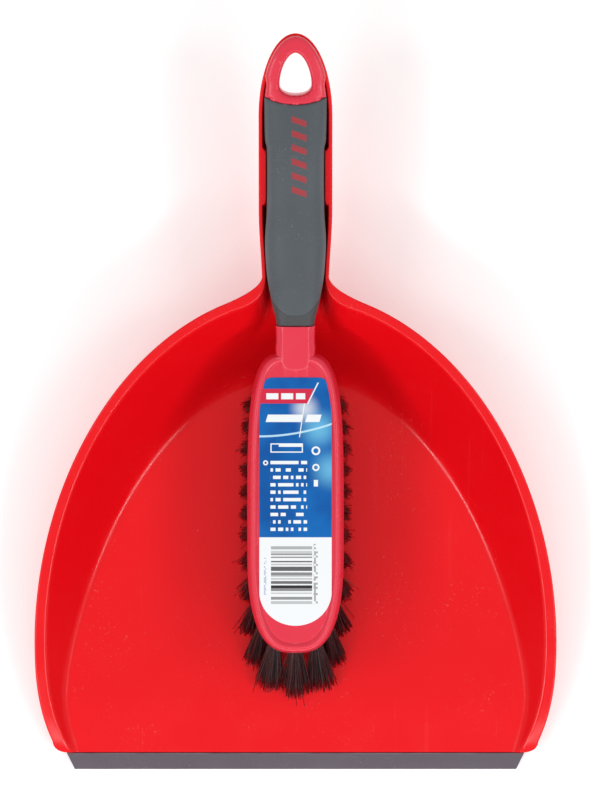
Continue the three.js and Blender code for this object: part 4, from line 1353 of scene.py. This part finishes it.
wire(tree, math_node(tree, "MULTIPLY_ADD", surface["Mottle"], 0.1, 0.25), shader.inputs["Roughness"])
shader.inputs["Specular IOR Level"].default_value = 0.3
bump(tree, surface["Height"], 0.2, 0.0006, shader)
print("sticker print:", len(tree.nodes), "nodes")

# %% Materials onto pieces
for piece, material in (
    (dust_pan, pan_plastic),
    (soft_lip, lip_rubber),
    (brush_moulding, brush_plastic),
    (grip_sleeve, grip_rubber),
    (sticker, label_film),
    *((tuft, bristle) for tuft in tufts.values()),
):
    piece.data.materials.clear()
    piece.data.materials.append(material)
print("materials:", [material.name for material in bpy.data.materials])


# %% [markdown]
# ## Floor, light and camera
#
# The set is seen from straight above, on a white floor that glows a little, so that no grey shadow rings
# it. A soft lamp on each side lights the walls of the bowl. Three long, narrow lamps stand in front, and
# their reflections draw thin bright lines along the crease of the floor and the bead of the brush. The
# rest of the room is kept dim, because a glossy red that mirrors a white ceiling turns pink.

# %% Floor
FLOOR_HALF, FLOOR_GLOW = 3.0, 0.22
corners = np.array([(-1, -1, 0), (1, -1, 0), (1, 1, 0), (-1, 1, 0)]) * FLOOR_HALF
floor_mesh = bpy.data.meshes.new("floor")
floor_mesh.from_pydata(corners, [], [(0, 1, 2, 3)])
floor = bpy.data.objects.new("floor", floor_mesh)
bpy.context.scene.collection.objects.link(floor)
floor_white, tree, shader, vector = new_material("floor_white")
shader.inputs["Base Color"].default_value = (0.93, 0.93, 0.93, 1)
wire(tree, ramp(tree, noise(tree, vector, 6.0, 2), 0.3, 0.7, 0.55, 0.65), shader.inputs["Roughness"])
shader.inputs["Specular IOR Level"].default_value = 0.2
shader.inputs["Emission Color"].default_value = (1, 1, 1, 1)
shader.inputs["Emission Strength"].default_value = FLOOR_GLOW
floor_mesh.materials.append(floor_white)
print("floor:", 2 * FLOOR_HALF, "m wide")

# %% Camera
CAMERA_HEIGHT, CAMERA_Y, CAMERA_LENS = 2.6, 0.0021, 266
camera_data = bpy.data.cameras.new("camera")
camera_data.lens = CAMERA_LENS
camera_data.clip_end = 20
camera = bpy.data.objects.new("camera", camera_data)
camera.location = (0, CAMERA_Y, CAMERA_HEIGHT)
bpy.context.scene.collection.objects.link(camera)
bpy.context.scene.camera = camera
bpy.context.scene.view_settings.view_transform = "Standard"
print("camera:", CAMERA_LENS, "mm lens,", CAMERA_HEIGHT, "m up")


# %% Lamps
def soft_lamp(name, place, width, height, watts):
    """A flat soft lamp that faces the origin, with its width level."""
    data = bpy.data.lights.new(name, "AREA")
    data.shape = "RECTANGLE"
    data.size = width
    data.size_y = height
    data.energy = watts
    lamp = bpy.data.objects.new(name, data)
    lamp.location = place
    x, y, z = place
    lamp.rotation_euler = (math.atan2(math.hypot(x, y), z), 0, math.atan2(x, -y))
    bpy.context.scene.collection.objects.link(lamp)


soft_lamp("left_lamp", (-1.1, 0.1, 1.4), 0.4, 0.4, 3.6)
soft_lamp("right_lamp", (1.1, 0.1, 1.4), 0.4, 0.4, 3.3)
soft_lamp("left_strip", (-0.95, -0.85, 1.3), 0.8, 0.12, 6.6)
soft_lamp("right_strip", (0.95, -0.85, 1.3), 0.8, 0.12, 6.2)
soft_lamp("front_strip", (0, -1.25, 1.25), 1.2, 0.12, 4)
ROOM_STRENGTH = 0.5
world = bpy.data.worlds.new("room")
world.use_nodes = True
room = world.node_tree.nodes["Background"]
room.inputs["Color"].default_value = (1, 1, 1, 1)
room.inputs["Strength"].default_value = ROOM_STRENGTH
bpy.context.scene.world = world
print("lamps:", len(bpy.data.lights))


# %% [markdown]
# ## Everything rides on its body
#
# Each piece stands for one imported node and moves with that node's body.

# %% Bodies, nodes and slots
for piece, body, node, slot in (
    (dust_pan, "pan", "pan_shell", "pan_plastic"),
    (soft_lip, "pan", "lip_strip", "lip_rubber"),
    (brush_moulding, "brush", "brush_body", "brush_plastic"),
    (grip_sleeve, "brush", "soft_grip", "grip_rubber"),
    (sticker, "brush", "label", "label_film"),
    *((piece, "brush", node, "bristle") for node, piece in tufts.items()),
):
    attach(piece, body)
    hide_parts(node)
